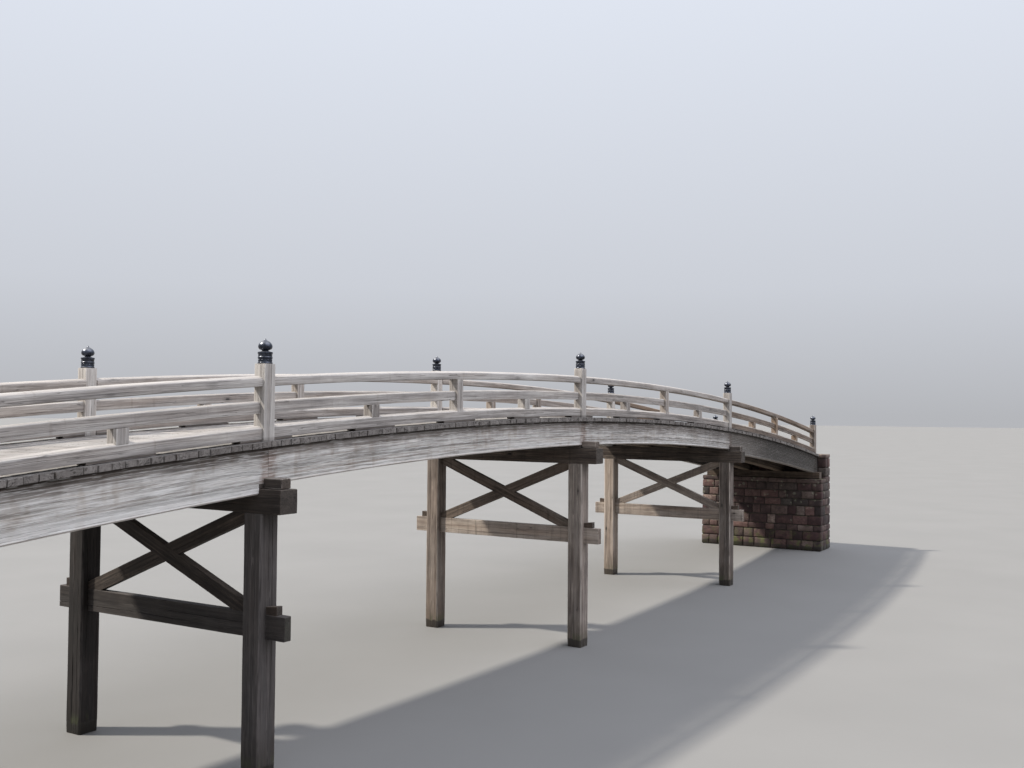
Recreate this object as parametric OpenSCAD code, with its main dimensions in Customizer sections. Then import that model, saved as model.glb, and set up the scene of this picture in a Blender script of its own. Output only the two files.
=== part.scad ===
// Timber moon bridge: a long low arch of four spans on three braced
// timber bents and two stone abutments, with a post-and-rail parapet
// and metal onion finials on its main posts.
//
// All sizes are millimetres. The origin is on the water line under the
// middle bent: +X runs along the bridge, +Y across it to the far side,
// +Z up.

/* [Arch] */
// Distance between neighbouring bents, centre to centre
span = 7600; // [6000:100:9000]
// Height of the planks' underside above the water, over the middle bent
crown_z = 3872; // [3500:1:4500]
// Radius of the arch, at the planks' underside
arch_r = 108700; // [90000:100:200000]

/* [Deck and girders] */
// Thickness of the cross planks
plank_t = 70; // [40:1:110]
// Width of the planked deck
deck_w = 3340; // [3250:10:3600]
// Depth of the girders in the two middle spans
girder_d = 415; // [300:5:450]
// Depth of the girders in the two end spans, which are notched over the caps
end_girder_d = 505; // [460:5:560]
// Thickness of the outer girders
fascia_t = 180; // [100:5:220]
// Distance between the outer faces of the two outer girders
fascia_w = 3200; // [3000:10:3240]
// Thickness of the inner girders
inner_t = 180; // [100:5:220]
// Distance of each inner girder's middle from the bridge's middle line
inner_y = 500; // [300:10:800]

/* [Bents] */
// Side of a square leg
leg_w = 275; // [200:5:300]
// Chamfer on a leg's corners
leg_chamfer = 22; // [0:1:40]
// Distance between the two legs of a bent, centre to centre
leg_spacing = 3000; // [2700:10:3100]
// Width of a cap beam, along the bridge
cap_w = 275; // [200:5:300]
// Height of a cap beam
cap_h = 270; // [200:5:340]
// Length of a cap beam, across the bridge
cap_l = 3820; // [3700:10:3900]
// Thickness of the bearing plank between a cap beam and the girders
bearing_t = 55; // [30:1:90]
// Thickness of a tie beam, along the bridge
tie_t = 105; // [80:5:190]
// Height of a tie beam
tie_h = 270; // [180:5:300]
// Length of a tie beam, across the bridge
tie_l = 3840; // [3700:10:3900]
// Clear height between tie beam and cap beam
tie_drop = 1100; // [800:5:1200]
// Width of a cross brace
brace_w = 175; // [120:5:220]
// Thickness of a cross brace, along the bridge
brace_t = 100; // [60:5:150]

/* [Parapet] */
// Side of a main post
post_w = 166; // [130:1:180]
// Distance of a main post's middle from the bridge's middle line
post_y = 1525; // [1450:5:1535]
// Distance of the rails' middle from the bridge's middle line
rail_y = 1505; // [1450:5:1520]
// Width of curb and top rail
rail_w = 150; // [110:1:150]
// Thickness of the middle rail
mid_t = 70; // [50:1:90]
// Side of a strut
strut_w = 148; // [110:1:150]

/* [Abutments] */
// Width of an abutment, across the bridge
abut_w = 3700; // [3400:10:3760]
// Length of an abutment, along the bridge, at the bearing
abut_l = 1000; // [900:10:1200]
// How far an abutment's front leans out at its foot
batter = 90; // [0:5:150]

/* [Hidden] */

// heights above the planks' underside, square to the arch
gap_h = 25;            // drain gap under the curb
curb_hi = 240;
mid_lo = 373;
mid_hi = 512;
top_lo = 668;
top_hi = 788;
post_hi = 918;
bay = span / 4;
step = bay / 4;        // length of one straight facet of the arch
sill_w = 250;
sill_h = 200;
end_x = 2 * span + 240;    // end of girders and planks
seat_x = 2 * span - 250;   // front of the bearing seat
back_x = 2 * span + 250;   // front of the back wall
chock_w = 160;
chock_l = 270;
chock_h = 125;
NEAR = -1;
FAR = 1;

// height of the true arch, and of its facets, which meet it at every step
function true_z(x, off) = crown_z - arch_r + sqrt(pow(arch_r + off, 2) - x * x);
function arch_z(x, off = 0) =
    let (a = floor(x / step) * step, t = (x - a) / step)
    (1 - t) * true_z(a, off) + t * true_z(a + step, off);
// how far a girder is let down over the beam that carries it
function dap(x, w) = 10 + abs(x) / arch_r * w / 2;
function seat_top(x) = arch_z(x, -girder_d) + dap(x, cap_w);
function cap_top(x) = seat_top(x) - bearing_t;
function cap_bottom(x) = cap_top(x) - cap_h;
function tie_top(x) = cap_bottom(x) - tie_drop;
function tie_bottom(x) = tie_top(x) - tie_h;
function sill_top() = arch_z(2 * span, -end_girder_d) + dap(2 * span, sill_w);
function seat_z() = sill_top() - sill_h;

// ---------- helpers ----------

// band of the arch between x1 and x2, drawn in the bridge's side view
module arch_band(x1, x2, lo, hi) {
    xs = [x1, each [for (k = [floor(x1 / step) + 1 : ceil(x2 / step) - 1]) k * step], x2];
    n = len(xs) - 1;
    polygon([for (x = xs) [x, arch_z(x, lo)], for (i = [n:-1:0]) [xs[i], arch_z(xs[i], hi)]]);
}

// gives a side view its thickness from y1 to y2
module across(y1, y2) {
    translate([0, y2, 0]) rotate([90, 0, 0]) linear_extrude(height = y2 - y1) children();
}

module cap_box(x) {
    translate([x - cap_w / 2, -cap_l / 2, cap_bottom(x)]) cube([cap_w, cap_l, cap_h]);
}

// plank on a cap beam, as wide as the cap and as long as the girders stand apart
module bearing_box(x) {
    translate([x - cap_w / 2, -fascia_w / 2, cap_top(x)]) cube([cap_w, fascia_w, bearing_t]);
}

// all the room that cap beam and bearing plank take from the girders
module seat_box(x) {
    translate([x - cap_w / 2, -cap_l / 2 - 50, cap_bottom(x)]) cube([cap_w, cap_l + 100, cap_h + bearing_t]);
}

module sill_box(s, grow = 0) {
    translate([s * 2 * span - sill_w / 2, -abut_w / 2 + 100 - grow, seat_z()])
        cube([sill_w, abut_w - 200 + 2 * grow, sill_h]);
}

module chamfered_square(w, c) {
    a = w / 2;
    b = w / 2 - c;
    polygon([[-b, -a], [b, -a], [a, -b], [a, b], [b, a], [-b, a], [-a, b], [-a, -b]]);
}

// ---------- abutments ----------

module abutment(s) {
    top = arch_z(end_x, plank_t);
    x0 = seat_x;
    x1 = seat_x + abut_l;
    across(-abut_w / 2, abut_w / 2)
        polygon([[s * (x0 - batter), 0], [s * x1, 0], [s * x1, top], [s * back_x, top],
                 [s * back_x, seat_z()], [s * x0, seat_z()]]);
}
module left_abutment() { color([0.36, 0.26, 0.26]) abutment(-1); }
module right_abutment() { color([0.36, 0.26, 0.26]) abutment(1); }
module sill_beams() { color([0.30, 0.24, 0.21]) for (s = [-1, 1]) sill_box(s); }

// ---------- bents ----------

// wedge on the tie, from the leg's inner face to outside its outer face
module wedge_profile() {
    a = leg_spacing / 2 - leg_w / 2;
    b = leg_spacing / 2 + leg_w / 2 + 160;
    polygon([[a, 0], [b, 0], [b, 100], [a, 60]]);
}
module wedges(x, side) {
    t = tie_t - 15;
    translate([x - t / 2, 0, tie_top(x)]) mirror([0, side == NEAR ? 1 : 0, 0])
        rotate([90, 0, 90]) linear_extrude(height = t) wedge_profile();
}

module leg(x, side) {
    difference() {
        translate([x, side * leg_spacing / 2, 0]) linear_extrude(height = cap_bottom(x))
            chamfered_square(leg_w, leg_chamfer);
        translate([x - tie_t / 2, side * leg_spacing / 2 - leg_w, tie_bottom(x)])
            cube([tie_t, 2 * leg_w, tie_h]);
        wedges(x, side);
    }
}
module left_near_leg() { color([0.38, 0.33, 0.31]) leg(-span, NEAR); }
module left_far_leg() { color([0.38, 0.33, 0.31]) leg(-span, FAR); }
module middle_near_leg() { color([0.40, 0.36, 0.35]) leg(0, NEAR); }
module middle_far_leg() { color([0.50, 0.44, 0.40]) leg(0, FAR); }
module right_near_leg() { color([0.43, 0.39, 0.35]) leg(span, NEAR); }
module right_far_leg() { color([0.60, 0.54, 0.46]) leg(span, FAR); }

module left_cap_beam() { color([0.33, 0.29, 0.27]) cap_box(-span); }
module middle_cap_beam() { color([0.33, 0.29, 0.27]) cap_box(0); }
module right_cap_beam() { color([0.33, 0.29, 0.27]) cap_box(span); }

module tie_beam(x) {
    translate([x - tie_t / 2, -tie_l / 2, tie_bottom(x)]) cube([tie_t, tie_l, tie_h]);
}
module left_tie_beam() { color([0.45, 0.40, 0.35]) tie_beam(-span); }
module middle_tie_beam() { color([0.45, 0.40, 0.35]) tie_beam(0); }
module right_tie_beam() { color([0.45, 0.40, 0.35]) tie_beam(span); }

// two braces halved into each other, from corner to corner
module cross_brace(x) {
    w = leg_spacing - leg_w;
    a = atan(tie_drop / w);
    translate([x - brace_t / 2, 0, tie_top(x)]) rotate([90, 0, 90]) linear_extrude(height = brace_t)
        intersection() {
            translate([-w / 2, 0]) square([w, tie_drop]);
            translate([0, tie_drop / 2]) union() {
                rotate(a) square([2 * w, brace_w], center = true);
                rotate(-a) square([2 * w, brace_w], center = true);
            }
        }
}
module left_cross_brace() { color([0.32, 0.28, 0.25]) cross_brace(-span); }
module middle_cross_brace() { color([0.32, 0.28, 0.25]) cross_brace(0); }
module right_cross_brace() { color([0.32, 0.28, 0.25]) cross_brace(span); }

module tie_wedges() {
    color([0.48, 0.42, 0.36]) for (x = [-span, 0, span], side = [NEAR, FAR]) wedges(x, side);
}

module bearing_planks() { color([0.34, 0.30, 0.28]) for (x = [-span, 0, span]) bearing_box(x); }

// ---------- girders ----------

module girder(x1, x2, d, y1, y2) {
    difference() {
        across(y1, y2) arch_band(x1, x2, -d, 0);
        for (x = [-span, 0, span]) seat_box(x);
        for (s = [-1, 1]) sill_box(s, 50);
    }
}
// k is 0 to 3, from the left end to the right end
function k_x1(k) = k == 0 ? -end_x : (k - 2) * span;
function k_x2(k) = k == 3 ? end_x : (k - 1) * span;
function k_depth(k) = k == 0 || k == 3 ? end_girder_d : girder_d;

module outer_girder(k, side) {
    y1 = side == NEAR ? -fascia_w / 2 : fascia_w / 2 - fascia_t;
    girder(k_x1(k), k_x2(k), k_depth(k), y1, y1 + fascia_t);
}
module near_girder_left_end() { color([0.50, 0.50, 0.50]) outer_girder(0, NEAR); }
module near_girder_left_middle() { color([0.62, 0.61, 0.59]) outer_girder(1, NEAR); }
module near_girder_right_middle() { color([0.62, 0.61, 0.59]) outer_girder(2, NEAR); }
module near_girder_right_end() { color([0.42, 0.44, 0.46]) outer_girder(3, NEAR); }
module far_girder_left_end() { color([0.50, 0.50, 0.50]) outer_girder(0, FAR); }
module far_girder_left_middle() { color([0.62, 0.61, 0.59]) outer_girder(1, FAR); }
module far_girder_right_middle() { color([0.62, 0.61, 0.59]) outer_girder(2, FAR); }
module far_girder_right_end() { color([0.42, 0.44, 0.46]) outer_girder(3, FAR); }

module inner_girders() {
    color([0.30, 0.26, 0.24]) for (k = [0:3], y = [-inner_y, inner_y])
        girder(k_x1(k) + (k == 0 ? 0 : 3), k_x2(k) - (k == 3 ? 0 : 3), k_depth(k), y - inner_t / 2, y + inner_t / 2);
}

// blocks on the cap ends that keep the outer girders from spreading
module girder_chocks() {
    color([0.50, 0.48, 0.46]) for (x = [-span, 0, span], side = [NEAR, FAR])
        translate([x - chock_w / 2, side == NEAR ? -fascia_w / 2 - chock_l : fascia_w / 2, cap_top(x)])
            cube([chock_w, chock_l, chock_h]);
}

// ---------- deck ----------

module deck(k) {
    across(-deck_w / 2, deck_w / 2) arch_band(k_x1(k), k_x2(k), 0, plank_t);
}
module deck_left_end() { color([0.48, 0.46, 0.44]) deck(0); }
module deck_left_middle() { color([0.50, 0.48, 0.46]) deck(1); }
module deck_right_middle() { color([0.50, 0.48, 0.46]) deck(2); }
module deck_right_end() { color([0.48, 0.46, 0.44]) deck(3); }

// ---------- parapet ----------

// stretch of a rail between two main posts
module rail_bays(lo, hi) {
    for (k = [0:3]) arch_band((k - 2) * span + post_w / 2, (k - 1) * span - post_w / 2, lo, hi);
}
module rail(side, w, lo, hi) {
    across(side * rail_y - w / 2, side * rail_y + w / 2) rail_bays(lo, hi);
}

// the curb bears on blocks of its own under each post and strut
module curb(side) {
    across(side * rail_y - rail_w / 2, side * rail_y + rail_w / 2) difference() {
        rail_bays(plank_t, curb_hi);
        for (i = [-8:7]) arch_band(i * bay + 0.21 * bay, (i + 1) * bay - 0.21 * bay, plank_t - 5, plank_t + gap_h);
    }
}

module main_posts(side) {
    for (i = [-2:2]) across(side * post_y - post_w / 2, side * post_y + post_w / 2)
        polygon([[i * span - post_w / 2, arch_z(i * span - post_w / 2, plank_t)],
                 [i * span, arch_z(i * span, plank_t)],
                 [i * span + post_w / 2, arch_z(i * span + post_w / 2, plank_t)],
                 [i * span + post_w / 2, arch_z(i * span, post_hi)],
                 [i * span - post_w / 2, arch_z(i * span, post_hi)]]);
}

// long struts reach the top rail at mid-span, short ones the middle rail
module struts(side) {
    difference() {
        across(side * rail_y - strut_w / 2, side * rail_y + strut_w / 2) for (i = [-8:8])
            if (i % 4 != 0)
                arch_band(i * bay - strut_w / 2, i * bay + strut_w / 2, curb_hi, i % 2 == 0 ? top_lo : mid_lo);
        rail(side, mid_t, mid_lo, mid_hi);
    }
}

module finial(x, side) {
    translate([x, side * post_y, arch_z(x, post_hi)]) rotate_extrude($fn = 64)
        polygon([[0, 0], [82, 0], [82, 14], [77, 20], [77, 58], [81, 62], [81, 73], [77, 77], [77, 107],
                 [83, 113], [83, 129], [62, 135], [36, 141], [36, 149], [58, 156], [71, 165], [77, 177],
                 [79, 190], [77, 204], [72, 218], [63, 231], [51, 243], [37, 252], [22, 259], [11, 267],
                 [5, 277], [0, 286]]);
}

module near_curb() { color([0.60, 0.58, 0.60]) curb(NEAR); }
module near_middle_rail() { color([0.60, 0.58, 0.60]) rail(NEAR, mid_t, mid_lo, mid_hi); }
module near_top_rail() { color([0.66, 0.64, 0.64]) rail(NEAR, rail_w, top_lo, top_hi); }
module near_main_posts() { color([0.56, 0.56, 0.54]) main_posts(NEAR); }
module near_struts() { color([0.58, 0.56, 0.56]) struts(NEAR); }
module near_finials() { color([0.08, 0.09, 0.12]) for (i = [-2:2]) finial(i * span, NEAR); }
module far_curb() { color([0.60, 0.58, 0.60]) curb(FAR); }
module far_middle_rail() { color([0.60, 0.58, 0.60]) rail(FAR, mid_t, mid_lo, mid_hi); }
module far_top_rail() { color([0.66, 0.64, 0.64]) rail(FAR, rail_w, top_lo, top_hi); }
module far_main_posts() { color([0.56, 0.56, 0.54]) main_posts(FAR); }
module far_struts() { color([0.58, 0.56, 0.56]) struts(FAR); }
module far_finials() { color([0.08, 0.09, 0.12]) for (i = [-2:2]) finial(i * span, FAR); }

// ---------- the bridge ----------

left_abutment();
right_abutment();
sill_beams();
left_near_leg();
left_far_leg();
left_cap_beam();
left_tie_beam();
left_cross_brace();
middle_near_leg();
middle_far_leg();
middle_cap_beam();
middle_tie_beam();
middle_cross_brace();
right_near_leg();
right_far_leg();
right_cap_beam();
right_tie_beam();
right_cross_brace();
tie_wedges();
bearing_planks();
near_girder_left_end();
near_girder_left_middle();
near_girder_right_middle();
near_girder_right_end();
far_girder_left_end();
far_girder_left_middle();
far_girder_right_middle();
far_girder_right_end();
inner_girders();
girder_chocks();
deck_left_end();
deck_left_middle();
deck_right_middle();
deck_right_end();
near_curb();
near_middle_rail();
near_top_rail();
near_main_posts();
near_struts();
near_finials();
far_curb();
far_middle_rail();
far_top_rail();
far_main_posts();
far_struts();
far_finials();
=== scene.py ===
"""Looks of a timber moon bridge: weathered timbers, planks, laminated girders,
stone abutments and metal finials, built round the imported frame. Metres, +Z up."""
import math

import bpy
import numpy as np
from mathutils import Matrix, Vector


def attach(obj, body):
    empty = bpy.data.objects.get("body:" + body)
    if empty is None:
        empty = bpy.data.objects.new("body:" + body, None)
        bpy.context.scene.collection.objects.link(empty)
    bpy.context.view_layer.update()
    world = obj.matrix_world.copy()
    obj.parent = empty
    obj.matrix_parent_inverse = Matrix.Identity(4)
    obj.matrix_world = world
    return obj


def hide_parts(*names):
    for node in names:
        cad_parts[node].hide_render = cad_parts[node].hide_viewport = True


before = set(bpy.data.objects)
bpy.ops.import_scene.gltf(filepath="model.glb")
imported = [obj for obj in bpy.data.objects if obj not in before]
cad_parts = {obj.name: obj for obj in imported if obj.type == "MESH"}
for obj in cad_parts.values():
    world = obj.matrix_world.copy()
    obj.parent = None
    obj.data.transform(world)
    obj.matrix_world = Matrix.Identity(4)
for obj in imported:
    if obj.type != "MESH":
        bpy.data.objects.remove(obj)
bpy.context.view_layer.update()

# ---------------------------------------------------------------- camera
CAM = Vector((-15.959, -9.754, 4.000))
YAW, PITCH, ROLL = math.radians(31.067), math.radians(1.633), 0.00833
F = Vector((math.cos(YAW) * math.cos(PITCH), math.sin(YAW) * math.cos(PITCH), math.sin(PITCH)))
R0 = Vector((math.sin(YAW), -math.cos(YAW), 0.0))
U0 = R0.cross(F)
RT = R0 * math.cos(ROLL) + U0 * math.sin(ROLL)
UP = -R0 * math.sin(ROLL) + U0 * math.cos(ROLL)
cam_data = bpy.data.cameras.new("camera")
cam_data.sensor_width = 36.0
cam_data.lens = 1031.2 / 1024 * 36.0
cam_data.clip_start, cam_data.clip_end = 0.1, 2000.0
cam = bpy.data.objects.new("camera", cam_data)
bpy.context.scene.collection.objects.link(cam)
cam.matrix_world = Matrix((
    (RT.x, UP.x, -F.x, CAM.x), (RT.y, UP.y, -F.y, CAM.y), (RT.z, UP.z, -F.z, CAM.z), (0, 0, 0, 1)))
bpy.context.scene.camera = cam

# ---------------------------------------------------------------- sizes, as in the frame
SPAN, CROWN, RAD = 7.6, 3.872, 108.7
PLANK_T, DECK_W = 0.070, 3.340
GIRDER_D, END_D = 0.415, 0.505
FASCIA_T, FASCIA_W = 0.180, 3.200
INNER_T, INNER_Y = 0.180, 0.500
LEG_W, LEG_C, LEG_Y = 0.275, 0.022, 1.500
CAP_W, CAP_H, CAP_L, BEARING_T = 0.275, 0.270, 3.820, 0.055
TIE_T, TIE_H, TIE_L, TIE_DROP = 0.105, 0.270, 3.840, 1.100
BRACE_W, BRACE_T = 0.175, 0.100
POST_W, POST_Y, RAIL_Y, RAIL_W, MID_T, STRUT_W = 0.166, 1.525, 1.505, 0.150, 0.070, 0.148
ABUT_W, ABUT_L, BATTER = 3.700, 1.000, 0.090
GAP_H, CURB_HI, MID_LO, MID_HI, TOP_LO, TOP_HI, POST_HI = 0.025, 0.240, 0.373, 0.512, 0.668, 0.788, 0.918
BAY = SPAN / 4
SILL_W, SILL_H = 0.250, 0.200
END_X, SEAT_X, BACK_X = 2 * SPAN + 0.240, 2 * SPAN - 0.250, 2 * SPAN + 0.250
CHOCK_W, CHOCK_L, CHOCK_H = 0.160, 0.270, 0.125


def arch(x, off=0.0):
    return CROWN - RAD + np.sqrt((RAD + off) ** 2 - np.asarray(x, float) ** 2)


def dap(x, w):
    return 0.010 + abs(x) / RAD * w / 2


def seat_top(x): return float(arch(x, -GIRDER_D)) + dap(x, CAP_W)
def cap_top(x): return seat_top(x) - BEARING_T
def cap_bottom(x): return cap_top(x) - CAP_H
def tie_top(x): return cap_bottom(x) - TIE_DROP
def tie_bottom(x): return tie_top(x) - TIE_H


SILL_TOP = float(arch(2 * SPAN, -END_D)) + dap(2 * SPAN, SILL_W)
SEAT_Z = SILL_TOP - SILL_H

# ---------------------------------------------------------------- noise


def _hash(ix, iy, iz, seed):
    h = (ix.astype(np.int64) * 374761393 + iy.astype(np.int64) * 668265263
         + iz.astype(np.int64) * 2147483647 + int(seed) * 1442695041) & 0xFFFFFFFF
    h = ((h ^ (h >> 13)) * 1274126177) & 0xFFFFFFFF
    h = ((h ^ (h >> 15)) * 2246822519) & 0xFFFFFFFF
    return ((h ^ (h >> 16)) & 0xFFFF) / 32767.5 - 1.0


def vnoise(x, y=0.0, z=0.0, seed=0):
    """Smooth value noise from -1 to 1."""
    x, y, z = np.broadcast_arrays(np.asarray(x, float), np.asarray(y, float), np.asarray(z, float))
    ix, iy, iz = np.floor(x), np.floor(y), np.floor(z)
    fx, fy, fz = x - ix, y - iy, z - iz
    fx, fy, fz = (t * t * (3 - 2 * t) for t in (fx, fy, fz))
    out = 0.0
    for dx in (0, 1):
        for dy in (0, 1):
            for dz in (0, 1):
                w = (fx if dx else 1 - fx) * (fy if dy else 1 - fy) * (fz if dz else 1 - fz)
                out = out + w * _hash(ix + dx, iy + dy, iz + dz, seed)
    return out


# ---------------------------------------------------------------- mesh building


class Piece:
    """Collects timbers or stones and becomes one mesh object."""

    def __init__(self):
        self.co, self.gr, self.bt, self.lc, self.ed = [], [], [], [], []
        self.loops, self.sizes, self.mats = [], [], []
        self.n = 0

    def add(self, co, gr, bt, lc, faces, mat=0, ed=0.0):
        co = np.asarray(co, float).reshape(-1, 3)
        k = len(co)
        self.co.append(co)
        self.ed.append(np.broadcast_to(np.asarray(ed, float), (k,)))
        for store, value in ((self.gr, gr), (self.bt, bt), (self.lc, lc)):
            store.append(np.broadcast_to(np.asarray(value, float), (k, 3)).reshape(-1, 3))
        for f in faces:
            f = np.asarray(f)
            if f.ndim == 1:
                f = f[None]
            self.loops.append((f + self.n).ravel())
            self.sizes.append(np.full(len(f), f.shape[1]))
            self.mats.append(np.full(len(f), mat))
        self.n += k

    def make(self, name, node, slot, materials, angle=38.0):
        co = np.concatenate(self.co)
        loops, sizes, mats = (np.concatenate(a).astype(np.int32) for a in (self.loops, self.sizes, self.mats))
        me = bpy.data.meshes.new(name)
        me.vertices.add(len(co))
        me.vertices.foreach_set("co", co.astype(np.float32).ravel())
        me.loops.add(len(loops))
        me.loops.foreach_set("vertex_index", loops)
        me.polygons.add(len(sizes))
        starts = np.concatenate(([0], np.cumsum(sizes)[:-1])).astype(np.int32)
        me.polygons.foreach_set("loop_start", starts)
        me.polygons.foreach_set("material_index", mats)
        for key, store in (("gr", self.gr), ("bt", self.bt), ("lc", self.lc)):
            a = me.attributes.new(key, "FLOAT_VECTOR", "POINT")
            a.data.foreach_set("vector", np.concatenate(store).astype(np.float32).ravel())
        a = me.attributes.new("ed", "FLOAT", "POINT")
        a.data.foreach_set("value", np.concatenate(self.ed).astype(np.float32))
        for m in materials:
            me.materials.append(m)
        me.update(calc_edges=True)
        me.validate()
        me.polygons.foreach_set("use_smooth", np.ones(len(me.polygons), bool))
        me.set_sharp_from_angle(angle=math.radians(angle))
        ob = bpy.data.objects.new(name, me)
        bpy.context.scene.collection.objects.link(ob)
        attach(ob, "root")
        if node:
            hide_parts(*([node] if isinstance(node, str) else node))
        return ob


def ring(w, h, r=0.004, seg=2, sides=(2, 2, 2, 2), grooves=(), crown=0.0, radii=None, power=2.0):
    """Outline of a sawn timber w wide (u) and h high (v), anticlockwise from the bottom edge.
    sides: inner points on bottom, right, top, left. grooves: (side, place from -1 to 1, tag).
    radii: one for each corner, bottom right, top right, top left, bottom left."""
    hw, hh = w / 2, h / 2
    radii = [min(x, hw * 0.98, hh * 0.98) for x in (radii or (r, r, r, r))]
    pts, nrm, tan, tags = [], [], [], []
    frames = [((0, -1), (1, 0), hh, hw), ((1, 0), (0, 1), hw, hh), ((0, 1), (-1, 0), hh, hw), ((-1, 0), (0, -1), hw, hh)]
    for s, (n, t, dist, half) in enumerate(frames):
        n, t = np.array(n, float), np.array(t, float)
        r0, r1 = radii[s - 1], radii[s]
        a, b = -half + r0, half - r1
        sup = min(0.006, (b - a) * 0.2)
        places = [(a + sup, None), (b - sup, None)]
        k = sides[s]
        if k > 0:
            places += [(a + (b - a) * (i + 1) / (k + 1), None) for i in range(k)]
        for g in grooves:
            if g[0] == s:
                p = (a + b) / 2 + g[1] * (b - a) / 2
                places += [(p - 0.002, ("l", g[2])), (p, ("c", g[2])), (p + 0.002, ("r", g[2]))]
        places.sort(key=lambda q: q[0])
        for p, tag in places:
            bulge = crown * (1 - abs(p / half) ** power) if s == 2 and crown else 0.0
            pts.append(n * (dist + bulge) + t * p); nrm.append(n); tan.append(t); tags.append(tag)
        n2 = np.array(frames[(s + 1) % 4][0], float)
        corner = n * (dist - r1) + t * (half - r1)
        for i in range(seg + 1):
            ang = math.pi / 2 * i / seg
            d = n * math.cos(ang) + n2 * math.sin(ang)
            pts.append(corner + d * r1); nrm.append(d); tan.append(t); tags.append(("e", "edge"))
    return np.array(pts), np.array(nrm), np.array(tan), tags


def flat_ring(w, h, c, **kw):
    """A ring whose corners are plain chamfers of c."""
    return ring(w, h, c, 1, **kw)


def cut_list(length, step, ends):
    n = max(2, int(round(length / step)))
    t = np.linspace(0, length, n + 1)
    extra = [e for e in ends if 0 < e < length * 0.25]
    t = np.concatenate([t, extra, [length - e for e in extra]])
    return np.unique(np.round(t, 6))


def timber(piece, outline, length, place, step=0.12, tone=0.0, warm=0.0, seed=0, rough=0.0012, wave=1.5,
           end=0.004, cracks=None, loc=None, pith=0.06, mat=0, ragged=0.0, scale=None, bow=0.0, caps=True):
    """Sweeps an outline along a timber. place(t, u, v) gives the points in the frame.
    cracks: {tag: (start, stop, width, depth)}. loc: what the stain coordinate reads, a function of the points."""
    rng = np.random.default_rng(seed)
    pts, nrm, tan, tags = outline
    t = cut_list(length, step, (end, end * 3.0))
    n, m = len(t), len(pts)
    peri = np.arange(m) * 0.37
    T = np.repeat(t[:, None], m, 1)
    prof = np.repeat(pts[None], n, 0).copy()
    if scale is not None:
        prof *= scale(t)[:, None, :] if scale(t).ndim == 2 else scale(t)[:, None, None]
    bump = rough * (0.65 * vnoise(T * wave + seed * 7.1, peri[None], 0, seed) + 0.35 * vnoise(T * wave * 5, peri[None] * 2, 0, seed + 5))
    prof += nrm[None] * (bump - rough * 0.6)[..., None]
    if bow:
        prof[..., 0] += bow * vnoise(t * 0.35 + seed, 0, 0, seed + 3)[:, None]
    if cracks:
        for j, tag in enumerate(tags):
            if tag and tag[1] in cracks:
                a, b, width, depth = cracks[tag[1]]
                f = np.clip((t - a) / max(b - a, 1e-6), 0, 1)
                open_ = np.clip(np.sin(np.pi * f) * 1.6, 0, 1) * (0.75 + 0.25 * vnoise(t * 4, 0, 0, seed + 11))
                drift = 0.010 * vnoise(t * 1.3, 0, 0, seed + 17 + hash_tag(tag[1]))
                prof[:, j] += tan[j] * drift[:, None]
                if tag[0] == "l":
                    prof[:, j] -= tan[j] * (width / 2 * open_)[:, None]
                elif tag[0] == "r":
                    prof[:, j] += tan[j] * (width / 2 * open_)[:, None]
                else:
                    prof[:, j] -= nrm[j] * (depth * open_)[:, None]
    # worn ends
    hw, hh = np.abs(pts[:, 0]).max(), np.abs(pts[:, 1]).max()
    shrink = np.zeros(n)
    if end > 0:
        d = np.minimum(t, length - t)
        shrink = np.where(d < 1e-9, end * 0.9, np.where(d <= end * 1.01, end * 0.25, 0.0))
    prof[..., 0] *= (1 - shrink / hw)[:, None]
    prof[..., 1] *= (1 - shrink / hh)[:, None]
    if ragged:
        T = T.copy()
        T[0] += ragged * (0.5 + 0.5 * vnoise(peri * 3, 0, 0, seed + 21))
        T[-1] -= ragged * (0.5 + 0.5 * vnoise(peri * 3, 0, 0, seed + 22))
        T[1] = np.maximum(T[1], T[0] + 0.001)
        T[-2] = np.minimum(T[-2], T[-1] - 0.001)
    P = place(T, prof[..., 0], prof[..., 1])
    off = np.array([rng.uniform(0, 40), rng.uniform(-pith, pith), rng.uniform(-pith, pith)])
    G = np.stack([T, prof[..., 0], prof[..., 1]], -1) + off
    L = loc(P, T, prof) if loc else P
    i, j = np.meshgrid(np.arange(n - 1), np.arange(m), indexing="ij")
    j2 = (j + 1) % m
    quads = np.stack([i * m + j, i * m + j2, (i + 1) * m + j2, (i + 1) * m + j], -1).reshape(-1, 4)
    first, last = np.arange(m)[::-1], (n - 1) * m + np.arange(m)
    # outward facing
    c = P.reshape(-1, 3).mean(0)
    q = quads[:: max(1, len(quads) // 400)]
    A, B, C, D = (P.reshape(-1, 3)[q[:, k]] for k in range(4))
    flip = (np.einsum("ij,ij->i", np.cross(C - A, D - B), (A + C) / 2 - c)).sum() < 0
    if flip:
        quads, first, last = quads[:, ::-1], first[::-1], last[::-1]
    bt = (tone, warm, 0.0)
    worn = np.array([1.0 if tag and tag[0] == "e" else 0.0 for tag in tags])
    worn = np.repeat(worn[None], n, 0)
    worn[0] = worn[-1] = 1.0
    piece.add(P, G.reshape(-1, 3), bt, L.reshape(-1, 3), [quads], mat, ed=worn.ravel())
    if caps:
        k = np.concatenate([first, last])
        face = np.arange(m)
        piece.add(P.reshape(-1, 3)[k], G.reshape(-1, 3)[k], (tone, warm, 1.0), L.reshape(-1, 3)[k], [face, face + m], mat)


def hash_tag(tag):
    return sum(ord(ch) * (i + 3) for i, ch in enumerate(str(tag))) % 97


def straight(p0, axis, u, v):
    p0, axis, u, v = (np.array(a, float) for a in (p0, axis, u, v))
    return lambda T, a, b: p0 + T[..., None] * axis + a[..., None] * u + b[..., None] * v


def along_arch(x0, yc, offc):
    """t runs along the bridge from x0, u across it, v square to the arch."""
    return lambda T, a, b: np.stack([x0 + T, yc + a, arch(x0 + T, offc + b)], -1)


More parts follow.
